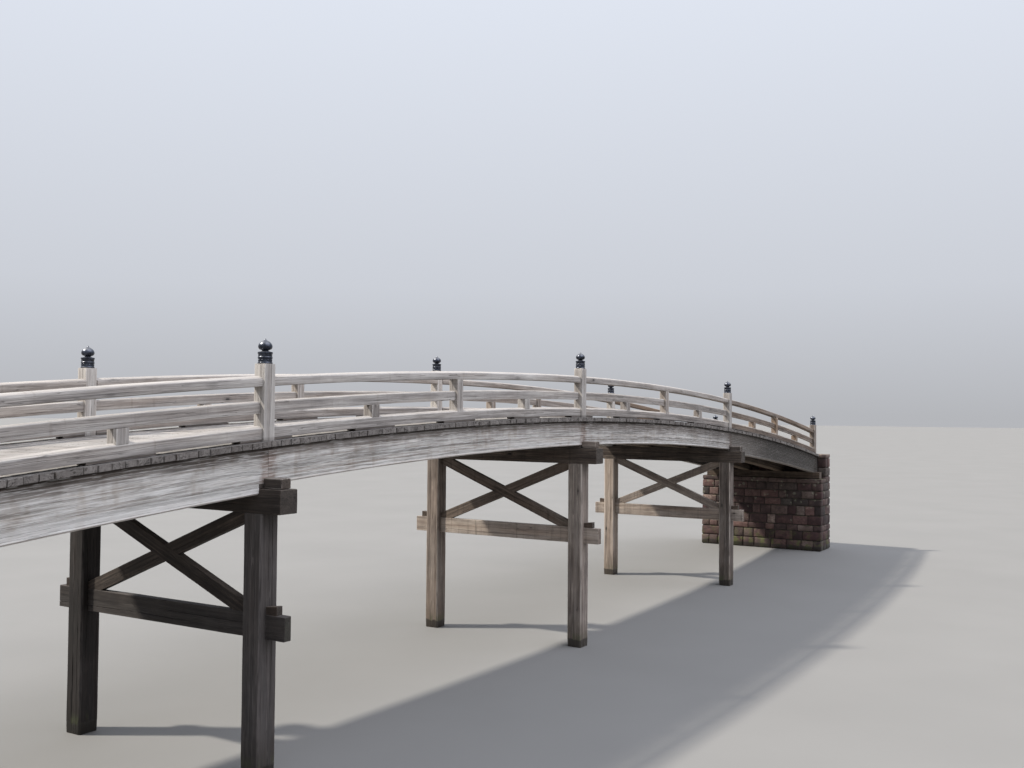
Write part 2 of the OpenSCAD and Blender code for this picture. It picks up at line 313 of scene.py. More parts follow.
def arch_loc(P, T, prof):
    """(x, y, height over the planks' underside)"""
    rr = np.sqrt(P[..., 0] ** 2 + (P[..., 2] - CROWN + RAD) ** 2) - RAD
    return np.stack([P[..., 0], P[..., 1], rr], -1)


# ---------------------------------------------------------------- material nodes


def lin(r, g, b):
    def f(c):
        c /= 255.0
        return c / 12.92 if c <= 0.04045 else ((c + 0.055) / 1.055) ** 2.4
    return (f(r), f(g), f(b), 1.0)


class Tree:
    def __init__(self, name):
        self.mat = bpy.data.materials.new(name)
        self.mat.use_nodes = True
        self.t = self.mat.node_tree
        self.t.nodes.clear()
        self.out = self.t.nodes.new("ShaderNodeOutputMaterial")
        self.bsdf = self.t.nodes.new("ShaderNodeBsdfPrincipled")
        self.t.links.new(self.bsdf.outputs[0], self.out.inputs[0])

    def put(self, socket, value):
        if isinstance(value, bpy.types.NodeSocket):
            self.t.links.new(value, socket)
        elif value is not None:
            socket.default_value = value

    def attr(self, name):
        n = self.t.nodes.new("ShaderNodeAttribute")
        n.attribute_name = name
        return n.outputs["Vector"]

    def value(self, name):
        n = self.t.nodes.new("ShaderNodeAttribute")
        n.attribute_name = name
        return n.outputs["Fac"]

    def sep(self, v):
        n = self.t.nodes.new("ShaderNodeSeparateXYZ")
        self.put(n.inputs[0], v)
        return n.outputs[0], n.outputs[1], n.outputs[2]

    def comb(self, x=0.0, y=0.0, z=0.0):
        n = self.t.nodes.new("ShaderNodeCombineXYZ")
        for s, v in zip(n.inputs, (x, y, z)):
            self.put(s, v)
        return n.outputs[0]

    def m(self, op, a, b=None, c=None, clamp=False):
        n = self.t.nodes.new("ShaderNodeMath")
        n.operation = op
        n.use_clamp = clamp
        for s, v in zip(n.inputs, (a, b, c)):
            if v is not None:
                self.put(s, v)
        return n.outputs[0]

    def vm(self, op, a, b=None):
        n = self.t.nodes.new("ShaderNodeVectorMath")
        n.operation = op
        self.put(n.inputs[0], a)
        if b is not None:
            self.put(n.inputs[1], b)
        return n.outputs["Value"] if op in ("LENGTH", "DOT_PRODUCT") else n.outputs[0]

    def noise(self, vec, detail=2.0, rough=0.5, distortion=0.0, scale=1.0, color=False):
        n = self.t.nodes.new("ShaderNodeTexNoise")
        self.put(n.inputs["Vector"], vec)
        n.inputs["Scale"].default_value = scale
        n.inputs["Detail"].default_value = detail
        n.inputs["Roughness"].default_value = rough
        n.inputs["Distortion"].default_value = distortion
        return n.outputs["Color"] if color else n.outputs[0]

    def voronoi(self, vec, feature="F1", randomness=1.0, scale=1.0):
        n = self.t.nodes.new("ShaderNodeTexVoronoi")
        n.feature = feature
        self.put(n.inputs["Vector"], vec)
        n.inputs["Scale"].default_value = scale
        n.inputs["Randomness"].default_value = randomness
        return n.outputs["Distance"], (n.outputs["Color"] if feature != "DISTANCE_TO_EDGE" else None)

    def step(self, v, a, b, lo=0.0, hi=1.0):
        n = self.t.nodes.new("ShaderNodeMapRange")
        n.interpolation_type = "SMOOTHSTEP"
        self.put(n.inputs["Value"], v)
        self.put(n.inputs["From Min"], a)
        self.put(n.inputs["From Max"], b)
        n.inputs["To Min"].default_value = lo
        n.inputs["To Max"].default_value = hi
        return n.outputs[0]

    def mix(self, fac, a, b, blend="MIX"):
        n = self.t.nodes.new("ShaderNodeMix")
        n.data_type = "RGBA"
        n.blend_type = blend
        self.put(n.inputs[0], fac)
        self.put(n.inputs[6], a)
        self.put(n.inputs[7], b)
        return n.outputs[2]

    def ramp(self, v, stops):
        n = self.t.nodes.new("ShaderNodeValToRGB")
        e = n.color_ramp.elements
        while len(e) < len(stops):
            e.new(0.5)
        for k, (p, c) in zip(e, stops):
            k.position, k.color = p, c
        self.put(n.inputs[0], v)
        return n.outputs[0]

    def bump(self, height, distance, strength=1.0, normal=None):
        n = self.t.nodes.new("ShaderNodeBump")
        n.inputs["Strength"].default_value = strength
        n.inputs["Distance"].default_value = distance
        self.put(n.inputs["Height"], height)
        if normal is not None:
            self.put(n.inputs["Normal"], normal)
        return n.outputs[0]

    def normal(self):
        return self.t.nodes.new("ShaderNodeNewGeometry").outputs["Normal"]


def wood(name, dark, mid, light, brown, *, streak=0.55, fine=0.30, broad=0.45, ringc=0.16, ring_w=0.0055,
         crack=0.9, crack_w=0.014, bleach=0.35, under=0.35, stain=None, stain_col=(0.030, 0.022, 0.018, 1), bumpd=0.0016,
         end_a=(0.07, 0.055, 0.045, 1), end_b=(0.20, 0.16, 0.13, 1), moss=0.0, knots=0.9, rough=0.82, edge=0.35, spots=0.0,
         end_tone=0.8):
    t = Tree(name)
    m, st, no = t.m, t.step, t.noise
    gr, bt, lc = t.attr("gr"), t.attr("bt"), t.attr("lc")
    tone, warm, end = t.sep(bt)
    lx, ly, lz = t.sep(lc)
    nx, ny, nz = t.sep(t.normal())
    # grain runs along the first coordinate; a slow warp makes it wander
    warp = no(t.vm("MULTIPLY", gr, (0.9, 7.0, 7.0)), 2.0, color=True)
    warp = t.vm("MULTIPLY", t.vm("SUBTRACT", warp, (0.5, 0.5, 0.5)), (0.0, 0.012, 0.012))
    g = t.vm("ADD", gr, warp)
    # knots turn the grain round them
    kd, kc = t.voronoi(t.vm("MULTIPLY", g, (2.6, 6.5, 6.5)))
    kr, _, _ = t.sep(kc)
    ksel = m("GREATER_THAN", kr, 0.86)
    knot = m("MULTIPLY", st(kd, 0.13, 0.07), m("MULTIPLY", ksel, knots))
    halo = m("MULTIPLY", st(kd, 0.34, 0.10), m("MULTIPLY", ksel, knots))
    # growth rings round the pith
    _, gy, gz = t.sep(g)
    rad = m("SQRT", m("ADD", m("MULTIPLY", gy, gy), m("MULTIPLY", gz, gz)))
    slow = no(t.vm("MULTIPLY", gr, (0.45, 2.0, 2.0)), 2.0)
    rad = m("ADD", rad, m("ADD", m("MULTIPLY", slow, 0.030), m("MULTIPLY", halo, 0.006)))
    rings = m("POWER", m("FRACT", m("MULTIPLY", rad, 1.0 / ring_w)), 2.2)
    f_fine = no(t.vm("MULTIPLY", g, (5.0, 210.0, 210.0)), 2.0, 0.6)
    f_str = no(t.vm("MULTIPLY", g, (0.8, 30.0, 30.0)), 5.0, 0.62)
    f_broad = no(t.vm("MULTIPLY", gr, (0.55, 4.0, 4.0)), 3.0, 0.55)
    patch = no(t.vm("MULTIPLY", lc, (1.3, 3.0, 2.0)), 3.0, 0.55)
    v = m("ADD", 0.5, m("MULTIPLY", m("SUBTRACT", f_str, 0.5), streak * 2))
    v = m("ADD", v, m("MULTIPLY", m("SUBTRACT", f_fine, 0.5), fine * 2))
    v = m("ADD", v, m("MULTIPLY", m("SUBTRACT", f_broad, 0.5), broad))
    v = m("ADD", v, m("MULTIPLY", m("SUBTRACT", patch, 0.5), broad))
    v = m("SUBTRACT", v, m("MULTIPLY", m("SUBTRACT", rings, 0.3), ringc))
    v = m("ADD", v, tone)
    col = t.ramp(v, [(0.0, tuple(x * 0.55 for x in dark[:3]) + (1,)), (0.22, dark), (0.52, mid), (0.80, light), (1.0, tuple(min(1, x * 1.25) for x in light[:3]) + (1,))])
    # warmer, browner wood where it has weathered less
    wf = m("ADD", warm, m("MULTIPLY", m("SUBTRACT", no(t.vm("MULTIPLY", gr, (0.8, 9.0, 9.0)), 3.0), 0.52), 0.9), clamp=True)
    col = t.mix(wf, col, t.mix(1.0, col, brown, "MULTIPLY"))
    # knots, cracks
    col = t.mix(m("MULTIPLY", halo, 0.35), col, tuple(x * 0.5 for x in dark[:3]) + (1,))
    col = t.mix(knot, col, tuple(x * 0.32 for x in dark[:3]) + (1,))
    cn = no(t.vm("MULTIPLY", g, (0.9, 34.0, 34.0)), 1.0, 0.4)
    cm = st(no(t.vm("MULTIPLY", gr, (0.7, 6.0, 6.0)), 2.0), 0.47, 0.60)
    ck = m("MULTIPLY", st(m("ABSOLUTE", m("SUBTRACT", cn, 0.5)), crack_w, 0.0), cm)
    ck = m("MULTIPLY", ck, m("SUBTRACT", 1.0, end))
    col = t.mix(m("MULTIPLY", ck, crack), col, (0.018, 0.014, 0.012, 1))
    # arrises are rubbed pale
    ed = t.value("ed")
    ew = m("MULTIPLY", ed, st(no(t.vm("MULTIPLY", gr, (2.5, 24.0, 24.0)), 3.0, 0.6), 0.34, 0.60))
    col = t.mix(m("MULTIPLY", ew, edge), col, tuple(min(1, x * 1.15) for x in light[:3]) + (1,))
    # faces to the sky bleach, faces to the ground keep their brown
    up = st(nz, 0.35, 0.92)
    down = st(nz, -0.35, -0.85)
    col = t.mix(m("MULTIPLY", up, bleach), col, t.mix(f_str, mid, tuple(min(1, x * 1.2) for x in light[:3]) + (1,)))
    col = t.mix(m("MULTIPLY", down, under), col, t.mix(1.0, col, (0.42, 0.33, 0.27, 1), "MULTIPLY"))
    wet = None
    if stain == "girder":
        # a dull band runs down from under the plank ends and frays out in soft streaks
        n1 = no(t.comb(m("MULTIPLY", lx, 1.7), 0.0, 0.0), 3.0, 0.6)
        n2 = no(t.comb(m("MULTIPLY", lx, 8.0), m("MULTIPLY", ly, 1.0), m("MULTIPLY", lz, 1.5)), 2.0, 0.5)
        reach = m("ADD", m("MULTIPLY", n1, 0.16), m("MULTIPLY", n2, 0.10))
        reach = m("ADD", reach, m("MULTIPLY", st(lx, -3.5, 1.5), 0.045))
        band = st(m("ADD", lz, reach), -0.090, 0.100)
        side = m("SUBTRACT", 1.0, m("ABSOLUTE", nz))
        col = t.mix(m("MULTIPLY", m("MULTIPLY", band, 0.92), side), col, t.mix(1.0, col, (0.37, 0.335, 0.32, 1), "MULTIPLY"))
        # painted shade: a dark strip along the girder's top, just under the plank ends, where their overhang shades it
        top = st(lz, -0.050, -0.014)
        col = t.mix(m("MULTIPLY", m("MULTIPLY", top, 0.95), side), col, stain_col)
        # rain runs down the joint of two spans and leaves a brown patch
        jx = m("ABSOLUTE", m("SUBTRACT", lx, m("MULTIPLY", m("ROUND", m("DIVIDE", lx, SPAN)), SPAN)))
        jn = no(t.comb(m("MULTIPLY", lx, 11.0), m("MULTIPLY", ly, 2.0), m("MULTIPLY", lz, 9.0)), 2.0, 0.6)
        jm = st(m("ADD", jx, m("MULTIPLY", m("SUBTRACT", jn, 0.5), 0.28)), 0.150, 0.050)
        col = t.mix(m("MULTIPLY", m("MULTIPLY", jm, 0.75), side), col, t.mix(1.0, col, (0.50, 0.38, 0.33, 1), "MULTIPLY"))
        # brown blots about a hand wide
        dr = no(t.comb(m("MULTIPLY", lx, 7.0), m("MULTIPLY", ly, 1.0), m("MULTIPLY", lz, 3.0)), 2.0, 0.5)
        col = t.mix(m("MULTIPLY", st(dr, 0.54, 0.72), 0.38), col, t.mix(1.0, col, (0.62, 0.53, 0.45, 1), "MULTIPLY"))
        # painted shade over the right end span: its wood is darkened and its grain shows less
        right_end_shade = m("MULTIPLY", st(m("ADD", lx, m("MULTIPLY", m("SUBTRACT", n1, 0.5), 1.2)), 7.2, 8.0), side)
        outside_right_shade = m("SUBTRACT", 1.0, right_end_shade)
        # short dashes of grain, light and dark
        ds = no(t.comb(m("MULTIPLY", lx, 4.5), m("MULTIPLY", ly, 9.0), m("MULTIPLY", lz, 80.0)), 2.0, 0.5)
        col = t.mix(m("MULTIPLY", m("MULTIPLY", st(ds, 0.56, 0.68), 0.34), outside_right_shade), col, tuple(min(1, x * 1.2) for x in light[:3]) + (1,))
        col = t.mix(m("MULTIPLY", st(ds, 0.42, 0.30), 0.42), col, t.mix(1.0, col, (0.45, 0.42, 0.40, 1), "MULTIPLY"))
        # painted reflection: a pale line along the lower edge of the side faces, on the bottom lamination
        low = st(lz, -0.372, -0.400)
        col = t.mix(m("MULTIPLY", m("MULTIPLY", m("MULTIPLY", low, 0.45), side), outside_right_shade), col, tuple(min(1, x * 1.15) for x in light[:3]) + (1,))
        # painted shade: the side faces darken from the right middle span on towards the right end
        col = t.mix(m("MULTIPLY", m("MULTIPLY", st(lx, 4.5, 6.8), 0.35), side), col, t.mix(1.0, col, (0.30, 0.30, 0.30, 1), "MULTIPLY"))
        col = t.mix(m("MULTIPLY", right_end_shade, m("ADD", 0.42, m("MULTIPLY", ed, 0.48))), col, lin(124, 117, 110))
        col = t.mix(m("MULTIPLY", right_end_shade, 0.47), col, t.mix(1.0, col, (0.32, 0.31, 0.30, 1), "MULTIPLY"))
        # painted shade: darker still past the right bent, along the right end span
        col = t.mix(m("MULTIPLY", m("MULTIPLY", st(lx, 8.1, 11.0), 0.90), side), col, t.mix(1.0, col, (0.22, 0.215, 0.205, 1), "MULTIPLY"))
    elif stain == "leg":
        nf = no(t.comb(m("MULTIPLY", lx, 9.0), m("MULTIPLY", ly, 9.0), m("MULTIPLY", lz, 2.0)), 3.0, 0.6)
        z2 = m("ADD", lz, m("MULTIPLY", m("SUBTRACT", nf, 0.5), 0.10))
        wet = st(z2, 0.150, 0.120)
        tide = m("MULTIPLY", st(z2, 0.62, 0.16), 0.55)
        col = t.mix(tide, col, t.mix(1.0, col, (0.50, 0.47, 0.40, 1), "MULTIPLY"))
        alg = m("MULTIPLY", m("MULTIPLY", st(z2, 0.30, 0.17), st(z2, 0.10, 0.15)), st(nf, 0.42, 0.62))
        col = t.mix(m("MULTIPLY", alg, 0.45), col, (0.060, 0.070, 0.030, 1))
        col = t.mix(m("MULTIPLY", wet, 0.80), col, (0.016, 0.014, 0.011, 1))
        dr = no(t.comb(m("MULTIPLY", lx, 28.0), m("MULTIPLY", ly, 28.0), m("MULTIPLY", lz, 0.9)), 2.0, 0.6)
        col = t.mix(m("MULTIPLY", st(dr, 0.56, 0.74), 0.42), col, stain_col)
    elif stain == "rail":
        dr = no(t.comb(m("MULTIPLY", lx, 17.0), m("MULTIPLY", ly, 3.0), m("MULTIPLY", lz, 2.0)), 3.0, 0.6)
        col = t.mix(m("MULTIPLY", st(dr, 0.58, 0.76), 0.26), col, t.mix(1.0, col, (0.45, 0.38, 0.33, 1), "MULTIPLY"))
        low = st(lz, 0.125, 0.092)
        col = t.mix(m("MULTIPLY", low, 0.30), col, stain_col)
    elif stain == "deck":
        # trodden middle, dark edges under the curbs, grime in the hollows
        ay = m("ABSOLUTE", ly)
        edge = st(ay, 1.25, 1.50)
        col = t.mix(m("MULTIPLY", edge, 0.35), col, stain_col)
        grime = st(no(t.vm("MULTIPLY", lc, (1.6, 1.1, 1.0)), 4.0, 0.6), 0.50, 0.68)
        col = t.mix(m("MULTIPLY", grime, 0.30), col, stain_col)
    elif stain == "beam":
        dr = no(t.comb(m("MULTIPLY", lx, 20.0), m("MULTIPLY", ly, 11.0), m("MULTIPLY", lz, 1.6)), 3.0, 0.6)
        col = t.mix(m("MULTIPLY", st(dr, 0.52, 0.74), 0.45), col, stain_col)
    if moss:
        ms = no(t.vm("MULTIPLY", lc, (7.0, 7.0, 7.0)), 5.0, 0.62)
        mk = m("MULTIPLY", m("MULTIPLY", st(ms, 0.56, 0.66), moss), st(nz, -0.1, 0.6))
        col = t.mix(mk, col, t.mix(f_fine, (0.070, 0.085, 0.030, 1), (0.20, 0.21, 0.12, 1)))
    # end grain: rings and radial checks
    erings = m("POWER", m("FRACT", m("MULTIPLY", rad, 1.0 / ring_w)), 1.3)
    ang = m("ARCTAN2", gz, gy)
    en = no(t.comb(m("MULTIPLY", ang, 5.0), m("MULTIPLY", rad, 7.0), tone), 2.0, 0.5)
    eck = m("MULTIPLY", st(m("ABSOLUTE", m("SUBTRACT", en, 0.5)), 0.030, 0.004), st(no(t.vm("MULTIPLY", lc, (9, 9, 9)), 1.0), 0.42, 0.55))
    ev = m("ADD", m("MULTIPLY", f_broad, 0.6), m("MULTIPLY", no(t.vm("MULTIPLY", lc, (60.0, 60.0, 60.0)), 2.0), 0.5))
    ev = m("SUBTRACT", m("ADD", ev, m("MULTIPLY", tone, end_tone)), m("MULTIPLY", erings, 0.22))
    ecol = t.mix(st(ev, 0.15, 0.85), end_a, end_b)
    if spots:
        sp = no(t.vm("MULTIPLY", lc, (26.0, 26.0, 26.0)), 2.0, 0.6)
        ecol = t.mix(m("MULTIPLY", st(sp, 0.57, 0.66), spots), ecol, (0.030, 0.022, 0.018, 1))
    ecol = t.mix(m("MULTIPLY", eck, 0.85), ecol, (0.012, 0.010, 0.009, 1))
    col = t.mix(end, col, ecol)
    t.put(t.bsdf.inputs["Base Color"], col)
    rg = m("ADD", rough, m("MULTIPLY", m("SUBTRACT", f_fine, 0.5), 0.22))
    rg = m("SUBTRACT", rg, m("MULTIPLY", up, 0.04))
    if wet is not None:
        rg = m("SUBTRACT", rg, m("MULTIPLY", wet, 0.45))
    t.put(t.bsdf.inputs["Roughness"], rg)
    t.bsdf.inputs["Specular IOR Level"].default_value = 0.32
    h = m("ADD", m("MULTIPLY", f_fine, 0.35), m("MULTIPLY", f_str, 0.9))
    h = m("SUBTRACT", h, m("MULTIPLY", rings, 0.35))
    h = m("SUBTRACT", h, m("MULTIPLY", ck, 2.2))
    h = m("ADD", h, m("MULTIPLY", knot, 0.8))
    he = m("SUBTRACT", m("MULTIPLY", erings, -0.6), m("MULTIPLY", eck, 2.5))
    he = m("ADD", he, m("MULTIPLY", no(t.vm("MULTIPLY", lc, (90.0, 90.0, 90.0)), 2.0), 0.7))
    hh = m("ADD", m("MULTIPLY", h, m("SUBTRACT", 1.0, end)), m("MULTIPLY", he, end))
    t.put(t.bsdf.inputs["Normal"], t.bump(hh, bumpd, 0.9))
    return t.mat


def stone_material():
    t = Tree("rough_stone")
    m, st, no = t.m, t.step, t.noise
    gr, bt, lc = t.attr("gr"), t.attr("bt"), t.attr("lc")
    tone, warm, _ = t.sep(bt)
    lx, ly, lz = t.sep(lc)
    nx, ny, nz = t.sep(t.normal())
    n1 = no(gr, 6.0, 0.62, 0.6, 5.0)
    n2 = no(gr, 4.0, 0.6, 0.0, 42.0)
    n3 = no(lc, 3.0, 0.55, 0.0, 1.6)
    v = m("ADD", m("ADD", m("MULTIPLY", n1, 0.75), m("MULTIPLY", n2, 0.30)), m("ADD", tone, m("MULTIPLY", n3, 0.20)))
    # painted shade: both ramps are kept darker than the stone's own colour
    a = t.ramp(v, [(0.25, lin(30, 20, 20)), (0.55, lin(66, 46, 45)), (0.80, lin(100, 76, 71)), (1.0, lin(140, 119, 110))])
    b = t.ramp(v, [(0.25, lin(29, 26, 25)), (0.55, lin(63, 58, 54)), (0.80, lin(98, 91, 84)), (1.0, lin(140, 132, 123))])
    col = t.mix(warm, b, a)
    # veins and seams in the stone
    w = no(t.vm("MULTIPLY", gr, (3.0, 3.0, 14.0)), 3.0, 0.55, 1.2)
    col = t.mix(m("MULTIPLY", st(m("ABSOLUTE", m("SUBTRACT", w, 0.5)), 0.035, 0.0), 0.45), col, lin(40, 32, 32))
    # lichen, and moss on ledges and near the water
    lv, lcx = t.voronoi(t.vm("ADD", lc, t.vm("MULTIPLY", no(lc, 3.0, 0.6, 0.0, 9.0, True), (0.05, 0.05, 0.05))), scale=7.0)
    lr, _, _ = t.sep(lcx)
    lich = m("MULTIPLY", st(lv, 0.34, 0.24), m("GREATER_THAN", lr, 0.70))
    lich = m("MULTIPLY", lich, st(n2, 0.38, 0.55))
    col = t.mix(m("MULTIPLY", lich, 0.55), col, t.mix(n2, lin(96, 98, 80), lin(150, 150, 132)))
    mz = m("ADD", st(lz, 0.75, 0.10), m("MULTIPLY", st(nz, 0.3, 0.9), 0.7), clamp=True)
    mk = m("MULTIPLY", st(no(lc, 5.0, 0.6, 0.0, 4.5), 0.47, 0.62), mz)
    col = t.mix(m("MULTIPLY", mk, 0.75), col, t.mix(n2, lin(44, 50, 24), lin(104, 110, 62)))
    z2 = m("ADD", lz, m("MULTIPLY", m("SUBTRACT", n3, 0.5), 0.10))
    wet = st(z2, 0.16, 0.12)
    col = t.mix(m("MULTIPLY", wet, 0.7), col, (0.014, 0.013, 0.011, 1))
    t.put(t.bsdf.inputs["Base Color"], col)
    t.put(t.bsdf.inputs["Roughness"], m("SUBTRACT", m("ADD", 0.80, m("MULTIPLY", m("SUBTRACT", n2, 0.5), 0.3)), m("MULTIPLY", wet, 0.4)))
    t.bsdf.inputs["Specular IOR Level"].default_value = 0.35
    h = m("ADD", m("MULTIPLY", n1, 1.0), m("MULTIPLY", n2, 0.35))
    h = m("ADD", h, m("MULTIPLY", no(gr, 3.0, 0.6, 0.0, 160.0), 0.12))
    t.put(t.bsdf.inputs["Normal"], t.bump(h, 0.012, 0.8))
    return t.mat


def mortar_material():
    t = Tree("mortar")
    lc = t.attr("lc")
    n1, n2 = t.noise(lc, 5.0, 0.6, 0.0, 9.0), t.noise(lc, 4.0, 0.6, 0.0, 70.0)
    v = t.m("ADD", t.m("MULTIPLY", n1, 0.6), t.m("MULTIPLY", n2, 0.4))
    t.put(t.bsdf.inputs["Base Color"], t.ramp(v, [(0.3, lin(30, 25, 23)), (0.6, lin(62, 54, 49)), (0.9, lin(94, 84, 75))]))
    t.put(t.bsdf.inputs["Roughness"], t.m("ADD", 0.86, t.m("MULTIPLY", n2, 0.1)))
    t.put(t.bsdf.inputs["Normal"], t.bump(v, 0.010, 0.8))
    return t.mat


def finial_material():
    t = Tree("dark_metal")
    m, st, no = t.m, t.step, t.noise
    gr, lc = t.attr("gr"), t.attr("lc")
    nx, ny, nz = t.sep(t.normal())
    n1 = no(gr, 5.0, 0.6, 0.3, 14.0)
    n2 = no(gr, 3.0, 0.6, 0.0, 90.0)
    run = no(t.vm("MULTIPLY", gr, (55.0, 55.0, 7.0)), 3.0, 0.6)
    col = t.mix(st(n1, 0.35, 0.70), lin(38, 41, 49), lin(66, 71, 82))
    col = t.mix(m("MULTIPLY", st(run, 0.55, 0.75), 0.5), col, lin(92, 97, 99))
    col = t.mix(m("MULTIPLY", st(n2, 0.58, 0.75), 0.30), col, lin(96, 84, 70))
    dust = m("MULTIPLY", st(nz, 0.45, 0.98), st(n1, 0.40, 0.62))
    # painted sky reflection: faces that turn upwards are lightened to a pale blue-grey
    col = t.mix(m("MULTIPLY", st(nz, 0.25, 0.85), 0.50), col, lin(138, 140, 146))
    col = t.mix(m("MULTIPLY", dust, 0.25), col, lin(126, 122, 114))
    t.put(t.bsdf.inputs["Base Color"], col)
    t.bsdf.inputs["Metallic"].default_value = 0.80
    t.put(t.bsdf.inputs["Roughness"], m("ADD", 0.24, m("ADD", m("MULTIPLY", n1, 0.14), m("MULTIPLY", dust, 0.20))))
    t.put(t.bsdf.inputs["Normal"], t.bump(m("ADD", m("MULTIPLY", n1, 0.6), m("MULTIPLY", n2, 0.3)), 0.0010, 0.6))
    return t.mat


def iron_material():
    t = Tree("rusted_iron")
    lc = t.attr("lc")
    n1, n2 = t.noise(lc, 4.0, 0.6, 0.0, 60.0), t.noise(lc, 3.0, 0.6, 0.0, 300.0)
    t.put(t.bsdf.inputs["Base Color"], t.ramp(n1, [(0.3, lin(34, 27, 25)), (0.55, lin(72, 50, 40)), (0.8, lin(112, 76, 54))]))
    t.bsdf.inputs["Metallic"].default_value = 0.35
    t.put(t.bsdf.inputs["Roughness"], t.m("ADD", 0.55, t.m("MULTIPLY", n2, 0.3)))
    t.put(t.bsdf.inputs["Normal"], t.bump(n2, 0.0006, 0.7))
    return t.mat


# edge=1.0 makes the girders' rubbed arrises strongly pale: partly wear, partly a painted highlight along the
# laminations' edges
M_GIRDER = wood("girder_timber", lin(108, 104, 99), lin(168, 165, 161), lin(208, 206, 203), lin(208, 184, 160),
                streak=0.44, fine=0.22, broad=0.28, ringc=0.10, crack=0.40, crack_w=0.009, stain="girder", moss=0.04, under=0.60,
                edge=1.0)
M_RAIL = wood("parapet_timber", lin(94, 89, 86), lin(146, 141, 137), lin(188, 184, 179), lin(206, 180, 154),
              streak=0.42, fine=0.24, broad=0.30, crack=0.6, stain="rail", bleach=0.50, moss=0.05, under=0.45, edge=0.50)
M_BENT = wood("bent_timber", lin(80, 73, 68), lin(128, 119, 112), lin(174, 165, 156), lin(200, 172, 148),
              streak=0.40, fine=0.26, broad=0.42, crack=0.7, stain="leg", bleach=0.45, under=0.40, moss=0.08, edge=0.55)
# painted shade: beam_timber is kept darker than the wood's own colour, for the caps, braces, wedges and bearing planks
# under the deck
M_BEAM = wood("beam_timber", lin(38, 33, 30), lin(68, 61, 56), lin(112, 102, 93), lin(200, 170, 148),
              streak=0.46, fine=0.28, broad=0.42, stain="beam", bleach=0.50, under=0.40, moss=0.10, edge=0.30,
              end_a=(0.030, 0.024, 0.020, 1), end_b=(0.095, 0.078, 0.064, 1))
M_SHADE = wood("shaded_bent_timber", lin(38, 35, 34), lin(72, 68, 66), lin(106, 100, 98), lin(206, 182, 164),
               streak=0.26, fine=0.24, broad=0.30, crack=0.5, stain="leg", bleach=0.35, under=0.40, moss=0.06, edge=0.28,
               end_a=(0.026, 0.023, 0.019, 1), end_b=(0.080, 0.074, 0.058, 1))
M_DECK = wood("deck_timber", lin(78, 74, 71), lin(124, 120, 117), lin(164, 161, 157), lin(204, 180, 158),
              streak=0.50, fine=0.28, broad=0.40, stain="deck", bleach=0.45, under=0.60, moss=0.03,
              end_a=(0.105, 0.092, 0.084, 1), end_b=(0.25, 0.23, 0.215, 1), edge=0.30, spots=0.55, end_tone=0.40)
M_HIDDEN = wood("hidden_timber", lin(48, 40, 35), lin(88, 78, 68), lin(128, 116, 102), lin(186, 152, 126),
                streak=0.55, fine=0.26, broad=0.45, stain="beam", bleach=0.30, under=0.35, edge=0.25)
M_STONE, M_MORTAR, M_METAL, M_IRON = stone_material(), mortar_material(), finial_material(), iron_material()

X, Y, Z = (1, 0, 0), (0, 1, 0), (0, 0, 1)
NEAR, FAR = -1, 1
BENTS = (("left", -SPAN), ("middle", 0.0), ("right", SPAN))

# ---------------------------------------------------------------- legs


def cracks_for(rng, length, tags, depth=0.016, width=0.007):
    out = {}
    for tag in tags:
        a = rng.uniform(0.0, 0.55) * length
        b = a + rng.uniform(0.25, 0.75) * length
        out[tag] = (a - 0.15 * length, min(b, length * 1.2), width * rng.uniform(0.6, 1.3), depth * rng.uniform(0.5, 1.2))
    return out


def leg(name, x, side, seed, tone, warm):
    rng = np.random.default_rng(seed)
    tags = [f"g{k}" for k in range(8)]
    grooves = [(k % 4, rng.uniform(-0.75, -0.1) if k < 4 else rng.uniform(0.15, 0.8), tags[k]) for k in range(8)]
    o = flat_ring(LEG_W, LEG_W, LEG_C, sides=(4, 4, 4, 4), grooves=grooves)
    p = Piece()
    length = cap_bottom(x)

    def size(t):
        foot = np.clip(1 - t / 0.16, 0, 1)
        return np.stack([1 - foot * 0.030, 1 - foot * 0.030], -1) * (1 + 0.003 * vnoise(t * 2.0, 0, 0, seed)[:, None]) * 0.997

    timber(p, o, length, straight((x, side * LEG_Y, 0), Z, X, Y), step=0.055, tone=tone, warm=warm, seed=seed,
           rough=0.0028, wave=2.2, cracks=cracks_for(rng, length, tags), scale=size, pith=0.03, end=0.003)
    return p.make(name + "_timber", name, "bent_timber", [M_SHADE if x < 0 else M_BENT])


for i, (label, x) in enumerate(BENTS):
    for side, where in ((NEAR, "near"), (FAR, "far")):
        # painted shade: the left far leg is toned darker; the left legs also take the shaded material
        tone = {("left", NEAR): 0.0, ("left", FAR): -0.28, ("middle", NEAR): 0.0, ("middle", FAR): -0.07,
                ("right", NEAR): -0.20, ("right", FAR): 0.18}[(label, side)]
        warm = {NEAR: 0.15, FAR: 0.35}[side]
        leg(f"{label}_{where}_leg", x, side, 101 + i * 7 + (side + 1), tone, warm)
